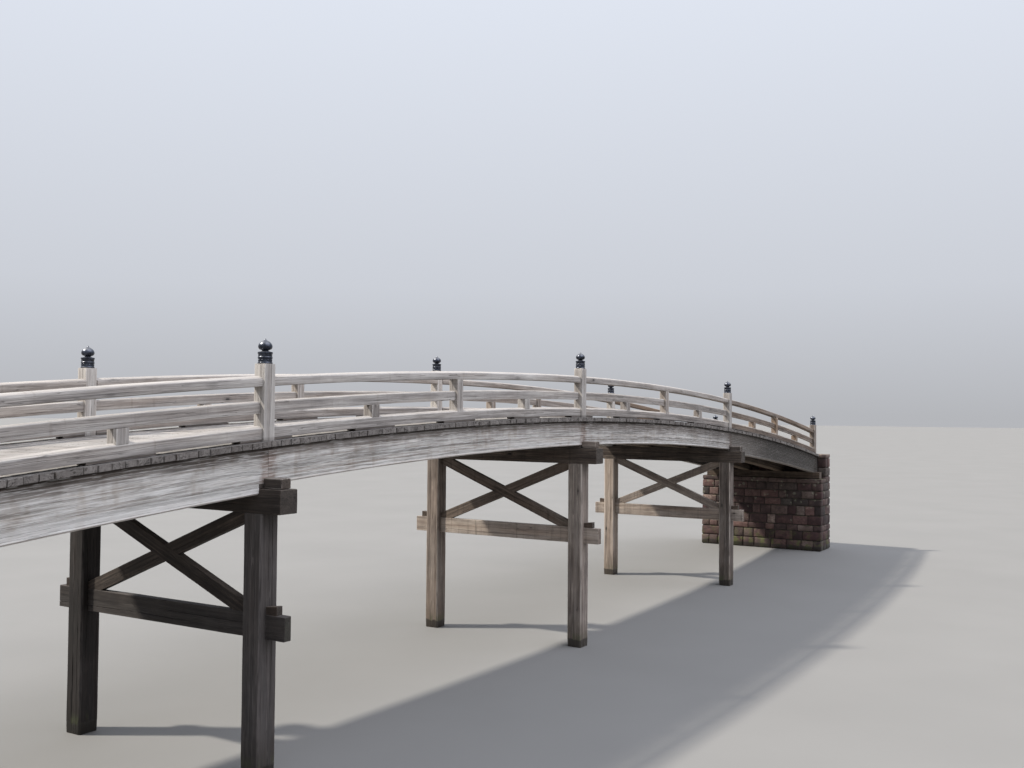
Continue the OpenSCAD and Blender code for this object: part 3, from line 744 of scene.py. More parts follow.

# ---------------------------------------------------------------- caps, ties, braces, wedges

# painted shade: the left bent's cap, tie and brace are toned darker, and its tie takes the shaded material
for i, (label, x) in enumerate(BENTS):
    rng = np.random.default_rng(300 + i)
    # cap beam
    tags = [f"c{k}" for k in range(5)]
    o = ring(CAP_W, CAP_H, 0.009, 2, sides=(3, 4, 3, 4),
             grooves=[(1, -0.4, "c0"), (1, 0.35, "c1"), (3, 0.3, "c2"), (3, -0.5, "c3"), (0, 0.1, "c4")])
    p = Piece()
    timber(p, o, CAP_L - 0.002, straight((x, -CAP_L / 2 + 0.001, cap_bottom(x) + CAP_H / 2), Y, X, Z), step=0.09,
           tone={"left": -0.14, "middle": 0.03, "right": 0.0}[label], warm=0.3, seed=320 + i, rough=0.003, wave=2.0, cracks=cracks_for(rng, CAP_L, tags, 0.018, 0.008), pith=0.05, end=0.007)
    p.make(f"{label}_cap_beam_timber", f"{label}_cap_beam", "bent_timber", [M_BEAM])
    # tie beam
    o = ring(TIE_T, TIE_H, 0.006, 2, sides=(1, 4, 1, 4), grooves=[(1, 0.3, "c0"), (3, -0.2, "c1"), (3, 0.5, "c2")])
    p = Piece()
    timber(p, o, TIE_L - 0.002, straight((x, -TIE_L / 2 + 0.001, tie_bottom(x) + TIE_H / 2), Y, X, Z), step=0.09,
           tone={"left": -0.14, "middle": 0.20, "right": 0.12}[label], warm=0.30, seed=340 + i, rough=0.0022, wave=2.0,
           cracks=cracks_for(rng, TIE_L, tags[:3], 0.014, 0.006), pith=0.10, end=0.006)
    p.make(f"{label}_tie_beam_timber", f"{label}_tie_beam", "bent_timber", [M_SHADE if x < 0 else M_BENT])
    # cross brace, two bars halved into each other
    p = Piece()
    w = 2 * LEG_Y - LEG_W
    ang = math.atan(TIE_DROP / w)
    zc = tie_top(x) + TIE_DROP / 2
    full = math.hypot(TIE_DROP, w) + 0.09
    for k, s in enumerate((1, -1)):
        axis = np.array((0, s * math.cos(ang), math.sin(ang)))
        up = np.array((0, -s * math.sin(ang), math.cos(ang)))
        thick = BRACE_T - (0.0015 if k == 0 else 0.006)
        o = ring(thick, BRACE_W - 0.002, 0.005, 2, sides=(1, 3, 1, 3), grooves=[(1, 0.2 - 0.5 * k, f"c{k}"), (3, -0.3 + 0.6 * k, f"c{k+2}")])
        timber(p, o, full, straight(np.array((x, 0, zc)) - axis * full / 2, axis, X, up), step=0.09,
               tone={"left": -0.12, "middle": 0.20, "right": 0.0}[label] + 0.05 * k, warm=0.3, seed=360 + 2 * i + k, rough=0.002, wave=2.2,
               cracks=cracks_for(rng, full, [f"c{k}", f"c{k+2}"], 0.012, 0.005), pith=0.08, end=0.004)
    p.make(f"{label}_cross_brace_timbers", f"{label}_cross_brace", "bent_timber", [M_BENT if x > 0 else M_BEAM])

p = Piece()
for i, (label, x) in enumerate(BENTS):
    for side in (NEAR, FAR):
        a, b = LEG_Y - LEG_W / 2, LEG_Y + LEG_W / 2 + 0.160
        wl = b - a - 0.001
        o = ring(TIE_T - 0.015, 1.0, 0.004, 2, sides=(1, 1, 1, 1))
        zt = tie_top(x)

        def place(T, u, v, x=x, side=side, a=a, zt=zt, wl=wl):
            h = 0.060 + 0.040 * T / wl
            return np.stack([x + u, side * (a + T), zt - 0.002 + (v + 0.5) * h], -1)

        pts, nrm, tan, tags = o
        pts = pts.copy()
        # painted shade: the left bent's wedges are toned darker
        timber(p, (pts, nrm * (1, 0), tan, tags), wl, place, step=0.05, tone=0.10 + (-0.12 if label == "left" else 0), warm=0.5,
               seed=400 + 2 * i + (side > 0), rough=0.0008, end=0.003, pith=0.05)
p.make("tie_wedges_timber", "tie_wedges", "bent_timber", [M_BEAM])

p = Piece()
for i, (label, x) in enumerate(BENTS):
    o = ring(CAP_W - 0.004, BEARING_T - 0.0006, 0.004, 2, sides=(2, 1, 2, 1))
    timber(p, o, FASCIA_W - 0.004, straight((x, -FASCIA_W / 2 + 0.002, cap_top(x) + BEARING_T / 2), Y, X, Z), step=0.12,
           tone=-0.08, warm=0.35, seed=440 + i, rough=0.0008, wave=1.6, end=0.004, pith=0.09)
p.make("bearing_planks_timber", "bearing_planks", "bent_timber", [M_BEAM])

# ---------------------------------------------------------------- girders


def laminated(p, x1, x2, depth, y1, y2, seed, tone, warm, outer, stops, step=0.16, layers=None, bevel=True):
    """A glued girder: thin layers one over another, each of boards butted end to end."""
    rng = np.random.default_rng(seed)
    n = layers or int(round(depth / 0.0378))
    hgt = depth / n
    for k in range(n):
        lo = -depth + k * hgt
        a, b = x1, x2
        for (sa, sb, limit) in stops:      # (from, to, layers below this offset stop there)
            if lo + hgt * 0.5 < limit:
                a, b = (sb if abs(sb - x1) < abs(sa - x2) else a), (sa if abs(sa - x2) <= abs(sb - x1) else b)
        shade = rng.normal(0, 0.085)
        wk = warm + rng.uniform(-0.12, 0.16)
        # painted reflection: the bottom layer gets a lighter tone, so its outer bevel reads as a pale line
        if k == 0:
            shade = 0.26
        cuts = [a]
        while b - cuts[-1] > 6.0:
            cuts.append(cuts[-1] + rng.uniform(2.4, 4.2))
        cuts.append(b)
        shift = rng.uniform(-0.0012, 0.0010)
        for q in range(len(cuts) - 1):
            c0, c1 = cuts[q] + (0.0006 if q else 0.0), cuts[q + 1] - (0.0006 if q < len(cuts) - 2 else 0.0)
            wid = (y2 - y1) - 0.003
            rr = [0.0016] * 4
            if k == 0 and bevel:
                rr = [0.0022] * 4
                if outer > 0:
                    rr[0] = 0.020
                elif outer < 0:
                    rr[3] = 0.020
                else:
                    rr[0] = rr[3] = 0.010
            o = ring(wid, hgt - 0.0010, seg=1, radii=rr, sides=(0, 1, 0, 1))
            timber(p, o, c1 - c0, along_arch(c0, (y1 + y2) / 2 + shift * (outer or 1), lo + hgt / 2), step=step,
                   tone=tone + shade + rng.normal(0, 0.05), warm=wk, seed=seed * 31 + k * 5 + q, rough=0.0011, wave=1.2,
                   end=0.0016, loc=arch_loc, pith=0.09)


GK = ("left_end", "left_middle", "right_middle", "right_end")


def k_x1(k): return -END_X if k == 0 else (k - 2) * SPAN
def k_x2(k): return END_X if k == 3 else (k - 1) * SPAN


def girder_stops(k):
    if k in (0, 3):
        s = -1 if k == 0 else 1
        cap = s * SPAN
        # lower layers stop at the cap's outer face, and over the sill the bottom is let down a little
        lim = seat_top(cap) - float(arch(cap)) + 0.004
        return [(cap - CAP_W / 2, cap + CAP_W / 2, lim)]
    return []


for side, where in ((NEAR, "near"), (FAR, "far")):
    for k in range(4):
        d = END_D if k in (0, 3) else GIRDER_D
        y1 = -FASCIA_W / 2 if side == NEAR else FASCIA_W / 2 - FASCIA_T
        p = Piece()
        # painted shade: the right end span (k 3) is toned darker
        tone = {0: -0.10, 1: 0.0, 2: -0.05, 3: -0.22}[k]
        a, b = k_x1(k) + (0.0 if k == 0 else 0.0025), k_x2(k) - (0.0 if k == 3 else 0.0025)
        laminated(p, a, b, d, y1, y1 + FASCIA_T, 500 + 10 * k + side, tone, 0.10, side, girder_stops(k))
        p.make(f"{where}_girder_{GK[k]}_layers", f"{where}_girder_{GK[k]}", "girder_timber", [M_GIRDER])

p = Piece()
for k in range(4):
    for q, y in enumerate((-INNER_Y, INNER_Y)):
        d = END_D if k in (0, 3) else GIRDER_D
        a, b = k_x1(k) + (0.0 if k == 0 else 0.004), k_x2(k) - (0.0 if k == 3 else 0.004)
        laminated(p, a, b, d, y - INNER_T / 2, y + INNER_T / 2, 560 + 10 * k + q, -0.02, 0.3, 0, girder_stops(k), step=0.38)
p.make("inner_girders_layers", "inner_girders", "hidden_timber", [M_HIDDEN])

p = Piece()
for i, (label, x) in enumerate(BENTS):
    for side in (NEAR, FAR):
        y0 = side * FASCIA_W / 2
        o = ring(CHOCK_W - 0.006, CHOCK_H - 0.006, seg=2, radii=(0.008, 0.014, 0.014, 0.008), sides=(2, 2, 2, 2), grooves=[(2, 0.1, "a"), (1, -0.3, "b")])
        # painted shade: the chocks on the left and right bents are toned darker
        timber(p, o, CHOCK_L - 0.004, straight((x, y0 + side * 0.002, cap_top(x) + CHOCK_H / 2), (0, side, 0), X, Z), step=0.03,
               tone={"left": -0.30, "middle": -0.06, "right": -0.30}[label], warm=0.2, seed=600 + 2 * i + (side > 0), rough=0.004, wave=9.0, end=0.009, pith=0.03,
               cracks={"a": (-0.05, 0.34, 0.006, 0.012), "b": (-0.05, 0.34, 0.005, 0.010)}, loc=lambda P, T, q: P)
p.make("girder_chocks_timber", "girder_chocks", "girder_timber", [M_BENT])

# ---------------------------------------------------------------- deck planks


def dome(p, c, r, h, mat):
    """A nail or bolt head, c on the surface."""
    a = np.arange(8) * math.pi / 4
    rings_ = [(r, -0.002), (r, h * 0.45), (r * 0.62, h * 0.9)]
    v = [np.stack([c[0] + q * np.cos(a), c[1] + q * np.sin(a), np.full(8, c[2] + z)], -1) for q, z in rings_]
    v = np.concatenate(v + [np.array([[c[0], c[1], c[2] + h]])])
    f = []
    for k in range(2):
        for i in range(8):
            f.append([k * 8 + i, k * 8 + (i + 1) % 8, (k + 1) * 8 + (i + 1) % 8, (k + 1) * 8 + i])
    tri = [[16 + i, 16 + (i + 1) % 8, 24] for i in range(8)]
    p.add(v, v, (0, 0, 0), v, [np.array(f), np.array(tri)], mat)


plank_no = 0
for k in range(4):
    p = Piece()
    x1, x2 = k_x1(k), k_x2(k)
    n = 53 if k in (0, 3) else 51
    pitch = (x2 - x1) / n
    rng = np.random.default_rng(700 + k)
    for i in range(n):
        plank_no += 1
        xc = x1 + (i + 0.5) * pitch
        w = pitch - rng.uniform(0.003, 0.007)
        l0, l1 = rng.uniform(0.0, 0.022), rng.uniform(0.0, 0.022)
        lift = rng.uniform(-0.0035, -0.0005)
        length = DECK_W - l0 - l1
        o = ring(w, PLANK_T - 0.002, 0.004, 2, sides=(1, 1, 3, 1), crown=0.0012)

        def place(T, u, v, xc=xc, y0=-DECK_W / 2 + l0, lift=lift):
            xx = xc + u
            return np.stack([xx, y0 + T, arch(xx, PLANK_T / 2 + lift + v)], -1)

        timber(p, o, length, place, step=0.24, tone=rng.normal(0, 0.10), warm=rng.uniform(0, 0.45), seed=800 + plank_no,
               rough=0.0016, wave=1.6, end=0.005, loc=arch_loc, pith=0.09, ragged=0.008)
        for yn in (-FASCIA_W / 2 + FASCIA_T / 2, -INNER_Y, INNER_Y, FASCIA_W / 2 - FASCIA_T / 2):
            for s in (-1, 1):
                if abs(yn) > 1.3:
                    continue
                nx_ = xc + s * w * 0.27 + rng.uniform(-0.004, 0.004)
                ny_ = yn + rng.uniform(-0.025, 0.025)
                dome(p, (nx_, ny_, float(arch(nx_, PLANK_T + lift)) - 0.0006), 0.0052, 0.0016, 1)
    p.make(f"deck_{GK[k]}_planks", f"deck_{GK[k]}", "deck_timber", [M_DECK, M_IRON])

# ---------------------------------------------------------------- parapet

for side, where in ((NEAR, "near"), (FAR, "far")):
    sd = 900 + 100 * (side > 0)
    y = side * RAIL_Y
    curb, mid, top, posts, struts = (Piece() for _ in range(5))
    for k in range(4):
        rng = np.random.default_rng(sd + k)
        a, b = (k - 2) * SPAN + POST_W / 2 - 0.003, (k - 1) * SPAN - POST_W / 2 + 0.003
        # painted shade: the right end span's rails (k 3) are toned darker and warmer, the right middle span's warmer;
        # painted reflected light: the far side's rails are warmer
        tone = {0: -0.02, 1: 0.0, 2: -0.06, 3: -0.20}[k]
        warm = {0: 0.10, 1: 0.05, 2: 0.20, 3: 0.75}[k] + (0.22 if side == FAR else 0.0)
        # curb beam
        hgt = CURB_HI - PLANK_T - GAP_H
        rise = 0.022
        o = ring(RAIL_W - 0.002, hgt - rise, seg=3, radii=(0.006, 0.010, 0.010, 0.006), sides=(1, 3, 5, 3), crown=rise, power=1.5,
                 grooves=[(1, 0.15, "a"), (3, -0.1, "b"), (2, 0.2, "c")])
        timber(curb, o, b - a, along_arch(a, y, PLANK_T + GAP_H + (hgt - rise) / 2 - 0.0005), step=0.11, tone=tone + 0.02, warm=warm, seed=sd + 10 + k,
               rough=0.0018, wave=1.6, end=0.002, loc=arch_loc, pith=0.07, cracks=cracks_for(rng, b - a, "abc", 0.010, 0.005))
        # feet under the curb, at the posts and struts
        for i in range(4):
            f0 = max(a, (k - 2) * SPAN + i * BAY - 0.21 * BAY)
            spots = [((k - 2) * SPAN + i * BAY - 0.21 * BAY, (k - 2) * SPAN + i * BAY + 0.21 * BAY)]
            if i == 3:
                spots.append(((k - 1) * SPAN - 0.21 * BAY, (k - 1) * SPAN + 0.21 * BAY))
            for q, (s0, s1) in enumerate(spots):
                s0, s1 = max(s0, a), min(s1, b)
                if s1 - s0 < 0.05:
                    continue
                o = ring(RAIL_W - 0.008, GAP_H + 0.002, 0.003, 1, sides=(0, 1, 0, 1))
                timber(curb, o, s1 - s0 - 0.004, along_arch(s0 + 0.002, y, PLANK_T + GAP_H / 2), step=0.09, tone=tone - 0.22, warm=0.4,
                       seed=sd + 30 + k * 9 + i * 2 + q, rough=0.002, wave=5, end=0.004, loc=arch_loc, ragged=0.004)
        # middle rail
        rise = 0.012
        o = ring(MID_T, MID_HI - MID_LO - rise, seg=2, radii=(0.006, 0.008, 0.008, 0.006), sides=(1, 4, 3, 4), crown=rise, power=1.6,
                 grooves=[(1, -0.2, "a"), (3, 0.3, "b")])
        timber(mid, o, b - a, along_arch(a, y, (MID_LO + MID_HI - rise) / 2), step=0.11, tone=tone + 0.06, warm=warm, seed=sd + 70 + k,
               rough=0.0016, wave=1.6, end=0.002, loc=arch_loc, pith=0.08, cracks=cracks_for(rng, b - a, "ab", 0.008, 0.004))
        # top rail, rounded on top
        hh = TOP_HI - TOP_LO
        prof, pn = [], []
        hw, bev, side_h, rise = RAIL_W / 2 - 0.0008, 0.008, 0.086, hh - 0.092 - 0.0008
        for u, v in ((-hw * 0.5, 0), (0, 0), (hw * 0.5, 0), (hw - bev, 0), (hw - 0.002, bev - 0.002), (hw, bev + 0.006), (hw, side_h * 0.38), (hw, side_h * 0.70), (hw, side_h)):
            prof.append((u, v))
        for i in range(1, 16):
            u = hw * (1 - i / 8.0)
            q = abs(u) / hw
            prof.append((u - math.copysign(0.002, u) * (q > 0.85), side_h + 0.006 * min(1, (1 - q) * 9) + rise * (1 - q ** 1.5)))
        for u, v in ((-hw, side_h), (-hw, side_h * 0.70), (-hw, side_h * 0.38), (-hw, bev + 0.006), (-hw + 0.002, bev - 0.002), (-hw + bev, 0)):
            prof.append((u, v))
        prof = np.array(prof) - (0, hh / 2)
        d = np.roll(prof, -1, 0) - np.roll(prof, 1, 0)
        nn = np.stack([d[:, 1], -d[:, 0]], -1)
        nn /= np.linalg.norm(nn, axis=1)[:, None] + 1e-9
        tt = d / (np.linalg.norm(d, axis=1)[:, None] + 1e-9)
        timber(top, (prof, nn, tt, [None] * len(prof)), b - a, along_arch(a, y, (TOP_LO + TOP_HI) / 2), step=0.11, tone=tone + 0.10, warm=warm - 0.03,
               seed=sd + 80 + k, rough=0.0014, wave=1.6, end=0.002, loc=arch_loc, pith=0.05)
        # struts
        for i in range(1, 4):
            ii = (k - 2) * 4 + i
            xs = ii * BAY
            hi = TOP_LO + 0.004 if ii % 2 == 0 else MID_LO
            o = ring(STRUT_W - 0.002, STRUT_W - 0.002, 0.007, 2, sides=(2, 2, 2, 2), grooves=[(0, 0.2, "a"), (3, -0.3, "b"), (1, 0.3, "c")])
            z0 = float(arch(xs, CURB_HI - 0.026))
            z1 = float(arch(xs, hi))
            slope = -xs / RAD

            def place(T, u, v, xs=xs, z0=z0, slope=slope):
                return np.stack([xs + u, y + v, z0 + T + u * slope], -1)

            # painted sunlight: the far side's struts are toned lighter
            timber(struts, o, z1 - z0, place, step=0.06, tone=rng.normal(0.0, 0.05) + (0.10 if side == FAR else 0.0), warm=warm + rng.uniform(-0.05, 0.1), seed=sd + 40 + ii + 8,
                   rough=0.0014, wave=3.5, end=0.004 if ii % 2 else 0.0, loc=arch_loc, pith=0.04,
                   cracks={"a": (-0.1, 0.5, 0.004, 0.008), "b": (0.0, 0.6, 0.004, 0.007), "c": (-0.2, 0.3, 0.003, 0.007)})
    # main posts and finials
    fin = Piece()
    for i in range(-2, 3):
        xs = i * SPAN
        yp = side * POST_Y
        rng = np.random.default_rng(sd + 60 + i)
        o = ring(POST_W - 0.001, POST_W - 0.001, 0.011, 2, sides=(3, 3, 3, 3),
                 grooves=[(0, 0.15, "a"), (3, -0.25, "b"), (1, 0.25, "c"), (2, -0.1, "d")])
        zt = float(arch(xs, POST_HI)) - 0.0005
        zb = float(arch(xs, PLANK_T - 0.004)) - abs(xs) / RAD * POST_W / 2
        # painted sunlight: the far posts are toned lighter and warmer; painted shade: the right end posts (i 2) are
        # toned darker and warmer
        timber(posts, o, zt - zb, straight((xs, yp, zb), Z, X, Y), step=0.05, tone=0.07 + rng.normal(0, 0.03) + (0.14 if side == FAR else 0.0) - (0.20 if i == 2 else 0.0),
               warm=0.02 + (0.12 if side == FAR else 0) + (0.40 if i == 2 else 0.0),
               seed=sd + 50 + i, rough=0.0015, wave=3, end=0.007, loc=arch_loc, pith=0.02,
               cracks={"a": (0.1, 0.9, 0.005, 0.012), "b": (-0.1, 0.5, 0.004, 0.010), "c": (0.3, 1.2, 0.004, 0.010), "d": (0.0, 0.8, 0.004, 0.010)})
        raw = [[0, 0], [81, 0], [81.8, 3], [81.8, 11], [80, 14.5], [77.2, 19], [76.8, 23], [76.8, 55], [79.6, 58.5], [80.7, 62], [80.7, 73], [79.6, 76], [76.8, 79],
               [76.8, 104], [78.4, 109], [81.6, 111.5], [82.8, 115], [82.8, 126], [81.6, 129.5], [72, 132.3], [61, 134.8], [49, 137.6], [40, 140.2], [36.2, 142.6], [35.4, 145.6],
               [37.2, 149.2], [46, 152.4], [57, 156.4], [65.6, 161.6], [71.2, 167.2], [75.6, 175.2], [77.9, 183.4], [78.7, 190], [78.1, 197], [76.4, 205], [72.8, 214.6],
               [67.6, 223.8], [60.2, 233], [51.6, 241.6], [43.6, 247.4], [34.8, 252.4], [27, 256], [20, 259.8], [14.4, 263.8], [10.2, 268.6], [7.0, 273.8], [4.6, 278.8],
               [2.6, 282.8], [0.0, 285.6]]
        seg = 48
        a = np.arange(seg) * 2 * math.pi / seg
        pr = np.array(raw[1:-1]) / 1000
        V = np.stack([pr[:, 0][:, None] * np.cos(a), pr[:, 0][:, None] * np.sin(a), np.repeat(pr[:, 1][:, None], seg, 1)], -1)
        dent = 1 + 0.006 * vnoise(np.cos(a)[None] * 2 + i * 5, np.sin(a)[None] * 2, pr[:, 1][:, None] * 22, sd + i)
        V[..., :2] *= np.minimum(dent, 1.002)[..., None]
        V = V.reshape(-1, 3)
        V = np.concatenate([V, [[0, 0, raw[-1][1] / 1000]], [[0, 0, 0]]])
        nr = len(pr)
        ii_, jj = np.meshgrid(np.arange(nr - 1), np.arange(seg), indexing="ij")
        j2 = (jj + 1) % seg
        q = np.stack([ii_ * seg + jj, ii_ * seg + j2, (ii_ + 1) * seg + j2, (ii_ + 1) * seg + jj], -1).reshape(-1, 4)
        topf = np.stack([(nr - 1) * seg + np.arange(seg), (nr - 1) * seg + (np.arange(seg) + 1) % seg, np.full(seg, nr * seg)], -1)
        botf = np.stack([(np.arange(seg) + 1) % seg, np.arange(seg), np.full(seg, nr * seg + 1)], -1)
        c = np.array((xs, yp, float(arch(xs, POST_HI))))
        fin.add(V + c, V + np.array((i * 1.7 + 9, side * 2.0, 0)), (0, 0, 0), V + c, [q, topf, botf])
        # round-headed nails in the collar
        for kk in range(8):
            aa = kk * math.pi / 4 + 0.39
            cc = c + np.array((math.cos(aa) * 0.0768, math.sin(aa) * 0.0768, 0.039))
            nrm_ = np.array((math.cos(aa), math.sin(aa), 0.0))
            tg = np.array((-math.sin(aa), math.cos(aa), 0.0))
            ring8 = np.arange(10) * 2 * math.pi / 10
            vv = []
            for rr_, out_ in ((0.0085, -0.002), (0.0082, 0.0014), (0.0058, 0.0038), (0.0028, 0.0050)):
                vv.append(cc + nrm_ * out_ + rr_ * (np.cos(ring8)[:, None] * tg + np.sin(ring8)[:, None] * np.array((0, 0, 1.0))))
            vv = np.concatenate(vv + [(cc + nrm_ * 0.0054)[None]])
            f4 = np.array([[r_ * 10 + s_, r_ * 10 + (s_ + 1) % 10, (r_ + 1) * 10 + (s_ + 1) % 10, (r_ + 1) * 10 + s_] for r_ in range(3) for s_ in range(10)])
            f3 = np.array([[30 + s_, 30 + (s_ + 1) % 10, 40] for s_ in range(10)])
            fin.add(vv, vv - c + np.array((i * 1.7 + 9, side * 2.0, 0)), (0, 0, 0), vv, [f4, f3])
    curb.make(f"{where}_curb_timbers", f"{where}_curb", "parapet_timber", [M_RAIL])
    mid.make(f"{where}_middle_rail_timbers", f"{where}_middle_rail", "parapet_timber", [M_RAIL])
    top.make(f"{where}_top_rail_timbers", f"{where}_top_rail", "parapet_timber", [M_RAIL], angle=50)
    struts.make(f"{where}_struts_timber", f"{where}_struts", "parapet_timber", [M_RAIL])
    posts.make(f"{where}_main_posts_timber", f"{where}_main_posts", "parapet_timber", [M_RAIL])
    fin.make(f"{where}_finials_metal", f"{where}_finials", "finial_metal", [M_METAL], angle=28)

# ---------------------------------------------------------------- abutments and sills


def block_template():
    """Faces of a box with five lattice points a side, as (i, j, k) corner indices."""
    n = 5
    index, pts = {}, []
    for i in range(n):
        for j in range(n):
            for k in range(n):
                if i in (0, n - 1) or j in (0, n - 1) or k in (0, n - 1):
                    index[i, j, k] = len(pts)
                    pts.append((i, j, k))
    faces = []
    for a in range(n - 1):
        for b in range(n - 1):
            faces.append([index[0, a, b], index[0, a, b + 1], index[0, a + 1, b + 1], index[0, a + 1, b]])
            faces.append([index[n - 1, a, b], index[n - 1, a + 1, b], index[n - 1, a + 1, b + 1], index[n - 1, a, b + 1]])
            faces.append([index[a, 0, b], index[a + 1, 0, b], index[a + 1, 0, b + 1], index[a, 0, b + 1]])
            faces.append([index[a, n - 1, b], index[a, n - 1, b + 1], index[a + 1, n - 1, b + 1], index[a + 1, n - 1, b]])
            faces.append([index[a, b, 0], index[a, b + 1, 0], index[a + 1, b + 1, 0], index[a + 1, b, 0]])
            faces.append([index[a, b, n - 1], index[a + 1, b, n - 1], index[a + 1, b + 1, n - 1], index[a, b + 1, n - 1]])
    return np.array(pts), np.array(faces)


BT_PTS, BT_FACES = block_template()


def stone(p, lo, hi, seed, tone, warm, rough=0.007, r=0.022, lean=None, mat=0):
    """A rough block between two corners. lean(points) shifts it after shaping."""
    lo, hi = np.array(lo, float), np.array(hi, float)
    c, h = (lo + hi) / 2, (hi - lo) / 2
    rr = min(r, *(h * 0.8))
    inset = rough * 0.9
    h = h - inset
    ax = [np.array([-a, -a + rr, 0.0, a - rr, a]) for a in h]
    q = np.stack([ax[d][BT_PTS[:, d]] for d in range(3)], -1)
    inner = np.clip(q, -(h - rr), h - rr)
    d = q - inner
    ln = np.linalg.norm(d, axis=1)
    q = inner + d / np.maximum(ln, 1e-9)[:, None] * rr * (ln > 1e-9)[:, None]
    n = q / np.maximum(np.abs(q).max(1), 1e-9)[:, None]
    n = d / np.maximum(ln, 1e-9)[:, None]
    w = c + q
    disp = rough * (0.6 * vnoise(w[:, 0] * 9 + seed, w[:, 1] * 9, w[:, 2] * 9, seed) + 0.4 * vnoise(w[:, 0] * 23, w[:, 1] * 23, w[:, 2] * 23, seed + 1))
    face = 1 - np.abs(q / h).prod(1)
    w = w + n * (disp + rough * 0.25)[:, None]
    w = np.minimum(np.maximum(w, lo), hi)
    if lean is not None:
        w = lean(w)
    rng = np.random.default_rng(seed)
    p.add(w, w + rng.uniform(-20, 20, 3), (tone, warm, 0), w, [BT_FACES], mat)


def box_core(p, lo, hi, lean, mat):
    lo, hi = np.array(lo, float), np.array(hi, float)
    v = np.array([[(lo, hi)[i][0], (lo, hi)[j][1], (lo, hi)[k][2]] for i in (0, 1) for j in (0, 1) for k in (0, 1)])
    f = np.array([[0, 1, 3, 2], [4, 6, 7, 5], [0, 4, 5, 1], [2, 3, 7, 6], [0, 2, 6, 4], [1, 5, 7, 3]])
    v = lean(v) if lean is not None else v
    p.add(v, v, (0, 0, 0), v, [f], mat)


def split(rng, total, low, high):
    """Random lengths from low to high that fill total."""
    out = []
    left = total
    while left > high * 1.15:
        w = rng.uniform(low, high)
        if left - w < low:
            w = left / 2
        out.append(w)
        left -= w
    out.append(left)
    return out


def abutment(s, name):
    p = Piece()
    rng = np.random.default_rng(40 + s)
    top = float(arch(END_X, PLANK_T))
    fx, bx, yy = SEAT_X, SEAT_X + ABUT_L, ABUT_W / 2

    def lean(w):
        w = w.copy()
        z = w[:, 2]
        f = np.clip((bx - w[:, 0]) / (bx - fx), 0, 1)
        w[:, 0] = w[:, 0] - BATTER * np.clip(1 - z / SEAT_Z, 0, 1) * f
        w[:, 0] *= s
        return w

    def lay(x0, x1, z0, z1, course):
        """One course of stones round the four sides between x0 and x1."""
        dep = rng.uniform(0.20, 0.27)
        turn = course % 2
        gap = 0.006

        def put(a, b, c, d):
            tn = rng.normal(-0.02, 0.10)
            zz0 = z0 + gap + rng.uniform(0, 0.006)
            zz1 = z1 - rng.uniform(0, 0.006)
            stone(p, (a, c, zz0), (b, d, zz1), int(rng.integers(1, 9999)), tn, float(np.clip(rng.normal(0.72, 0.25), 0, 1)), lean=lean)

        # front and back faces
        for face in (0, 1):
            a, b = (x0, x0 + dep) if face == 0 else (x1 - dep, x1)
            y = -yy + (0 if turn else dep)
            end_y = yy - (0 if turn else dep)
            for w in split(rng, end_y - y, 0.24, 0.56):
                put(a, b, y + gap / 2, y + w - gap / 2)
                y += w
        # two ends
        xa, xb = (x0 + dep, x1 - dep) if turn else (x0, x1)
        if xb - xa > 0.08:
            for yv in (-1, 1):
                a = xa
                for w in split(rng, xb - xa, 0.22, 0.50):
                    lo_y, hi_y = (-yy, -yy + dep) if yv < 0 else (yy - dep, yy)
                    put(a + gap / 2, a + w - gap / 2, lo_y, hi_y)
                    a += w

    z = 0.0
    hs = split(rng, SEAT_Z - 0.13, 0.17, 0.30)
    for course, hgt in enumerate(hs):
        lay(fx, bx, z, z + hgt, course)
        z += hgt
    # flat slabs of the bearing seat
    y = -yy
    for w in split(rng, 2 * yy, 0.55, 0.95):
        stone(p, (fx, y + 0.003, z + 0.004), (BACK_X - 0.01, y + w - 0.003, SEAT_Z), int(rng.integers(1, 9999)), rng.normal(0.04, 0.06), 0.55, rough=0.004, r=0.016, lean=lean)
        y += w
    # back wall
    z2 = SEAT_Z - 0.13
    for course, hgt in enumerate(split(rng, top - 0.11 - z2, 0.19, 0.27)):
        lay(BACK_X, bx, z2, z2 + hgt, course + 1)
        z2 += hgt
    y = -yy
    for w in split(rng, 2 * yy, 0.50, 0.90):
        stone(p, (BACK_X, y + 0.003, z2 + 0.004), (bx, y + w - 0.003, top), int(rng.integers(1, 9999)), rng.normal(0.06, 0.06), 0.5, rough=0.004, r=0.016, lean=lean)
        y += w
    box_core(p, (fx + 0.030, -yy + 0.030, 0.0), (bx - 0.030, yy - 0.030, SEAT_Z - 0.02), lean, 1)
    box_core(p, (BACK_X + 0.034, -yy + 0.036, SEAT_Z - 0.15), (bx - 0.036, yy - 0.036, top - 0.02), lean, 1)
    p.make(name + "_stones", name, "stone_masonry", [M_STONE, M_MORTAR], angle=55)


abutment(-1, "left_abutment")
abutment(1, "right_abutment")

p = Piece()
for s in (-1, 1):
    o = ring(SILL_W - 0.002, SILL_H - 0.001, 0.008, 2, sides=(3, 3, 3, 3), grooves=[(1, 0.2, "a"), (3, -0.2, "b"), (2, 0.0, "c")])
    timber(p, o, ABUT_W - 0.202, straight((s * 2 * SPAN, -ABUT_W / 2 + 0.101, SEAT_Z + SILL_H / 2), Y, X, Z), step=0.1, tone=-0.05, warm=0.4,
           seed=77 + s, rough=0.003, wave=2, end=0.006, cracks={"a": (0.2, 3.0, 0.007, 0.014), "b": (0.8, 3.4, 0.006, 0.013), "c": (0, 2, 0.006, 0.012)})
p.make("sill_beams_timber", "sill_beams", "hidden_timber", [M_HIDDEN])

# ---------------------------------------------------------------- floor and light

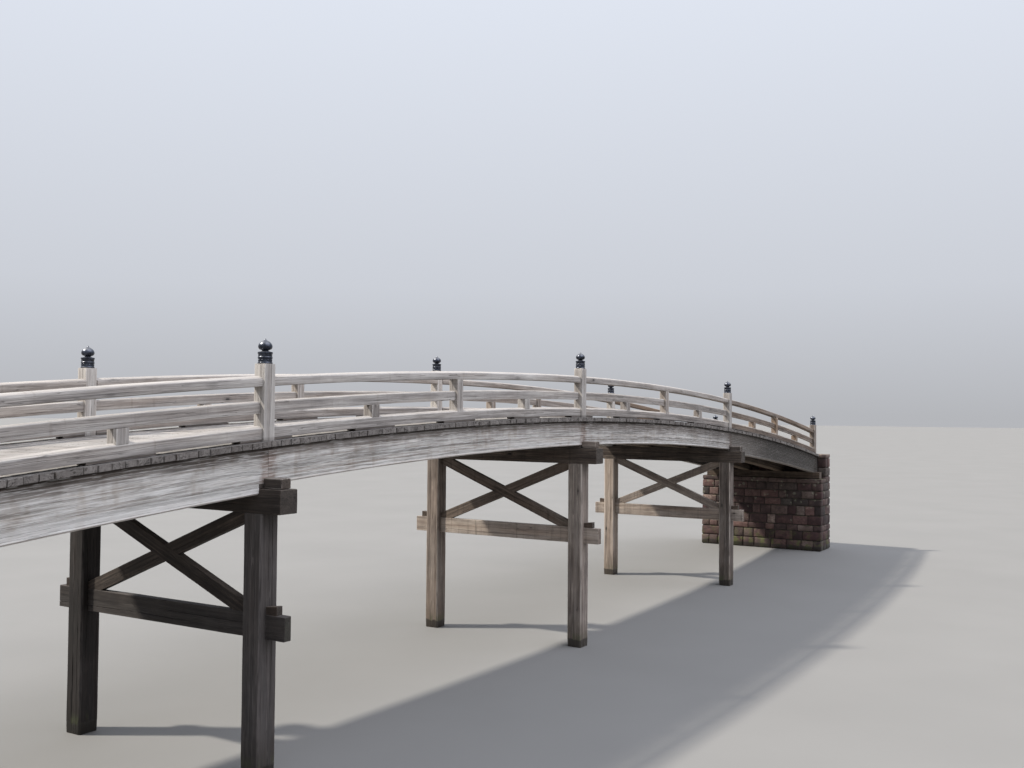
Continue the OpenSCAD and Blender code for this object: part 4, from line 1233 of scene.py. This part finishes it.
me = bpy.data.meshes.new("floor")
S = 420.0
me.from_pydata([(-S, -S, 0), (S, -S, 0), (S, S, 0), (-S, S, 0)], [], [(0, 1, 2, 3)])
floor = bpy.data.objects.new("floor", me)
bpy.context.scene.collection.objects.link(floor)
t = Tree("plain_floor")
geo = t.t.nodes.new("ShaderNodeNewGeometry").outputs["Position"]
fn = t.noise(geo, 3.0, 0.5, 0.0, 0.35)
t.put(t.bsdf.inputs["Base Color"], t.mix(fn, (0.165, 0.163, 0.157, 1), (0.195, 0.192, 0.185, 1)))
t.bsdf.inputs["Roughness"].default_value = 0.9
me.materials.append(t.mat)

world = bpy.data.worlds.new("studio")
world.use_nodes = True
wt = world.node_tree
wt.nodes.clear()
wout, bg = wt.nodes.new("ShaderNodeOutputWorld"), wt.nodes.new("ShaderNodeBackground")
coord, sepz, sky = wt.nodes.new("ShaderNodeTexCoord"), wt.nodes.new("ShaderNodeSeparateXYZ"), wt.nodes.new("ShaderNodeValToRGB")
wt.links.new(coord.outputs["Generated"], sepz.inputs[0])
wt.links.new(sepz.outputs[2], sky.inputs[0])
stops = [(0.0, (0.46, 0.47, 0.495, 1)), (0.12, (0.60, 0.625, 0.68, 1)), (0.45, (0.78, 0.83, 0.93, 1)), (1.0, (1.0, 1.06, 1.20, 1))]
while len(sky.color_ramp.elements) < len(stops):
    sky.color_ramp.elements.new(0.5)
for e, (pos, c) in zip(sky.color_ramp.elements, stops):
    e.position, e.color = pos, c
wt.links.new(sky.outputs[0], bg.inputs["Color"])
bg.inputs["Strength"].default_value = 1.0
wt.links.new(bg.outputs[0], wout.inputs[0])
bpy.context.scene.world = world


def sun(name, to_light, strength, angle, color):
    data = bpy.data.lights.new(name, "SUN")
    data.energy, data.angle, data.color = strength, math.radians(angle), color
    ob = bpy.data.objects.new(name, data)
    ob.rotation_mode = "QUATERNION"
    ob.rotation_quaternion = (-Vector(to_light).normalized()).to_track_quat("-Z", "Y")
    bpy.context.scene.collection.objects.link(ob)
    return ob


sun("key", (-0.364, 0.582, 0.727), 5.5, 3.0, (1.0, 0.94, 0.84))
sun("fill", (0.10, -0.62, 0.78), 1.8, 60.0, (0.92, 0.92, 1.0))

scene = bpy.context.scene
scene.view_settings.view_transform = "Standard"
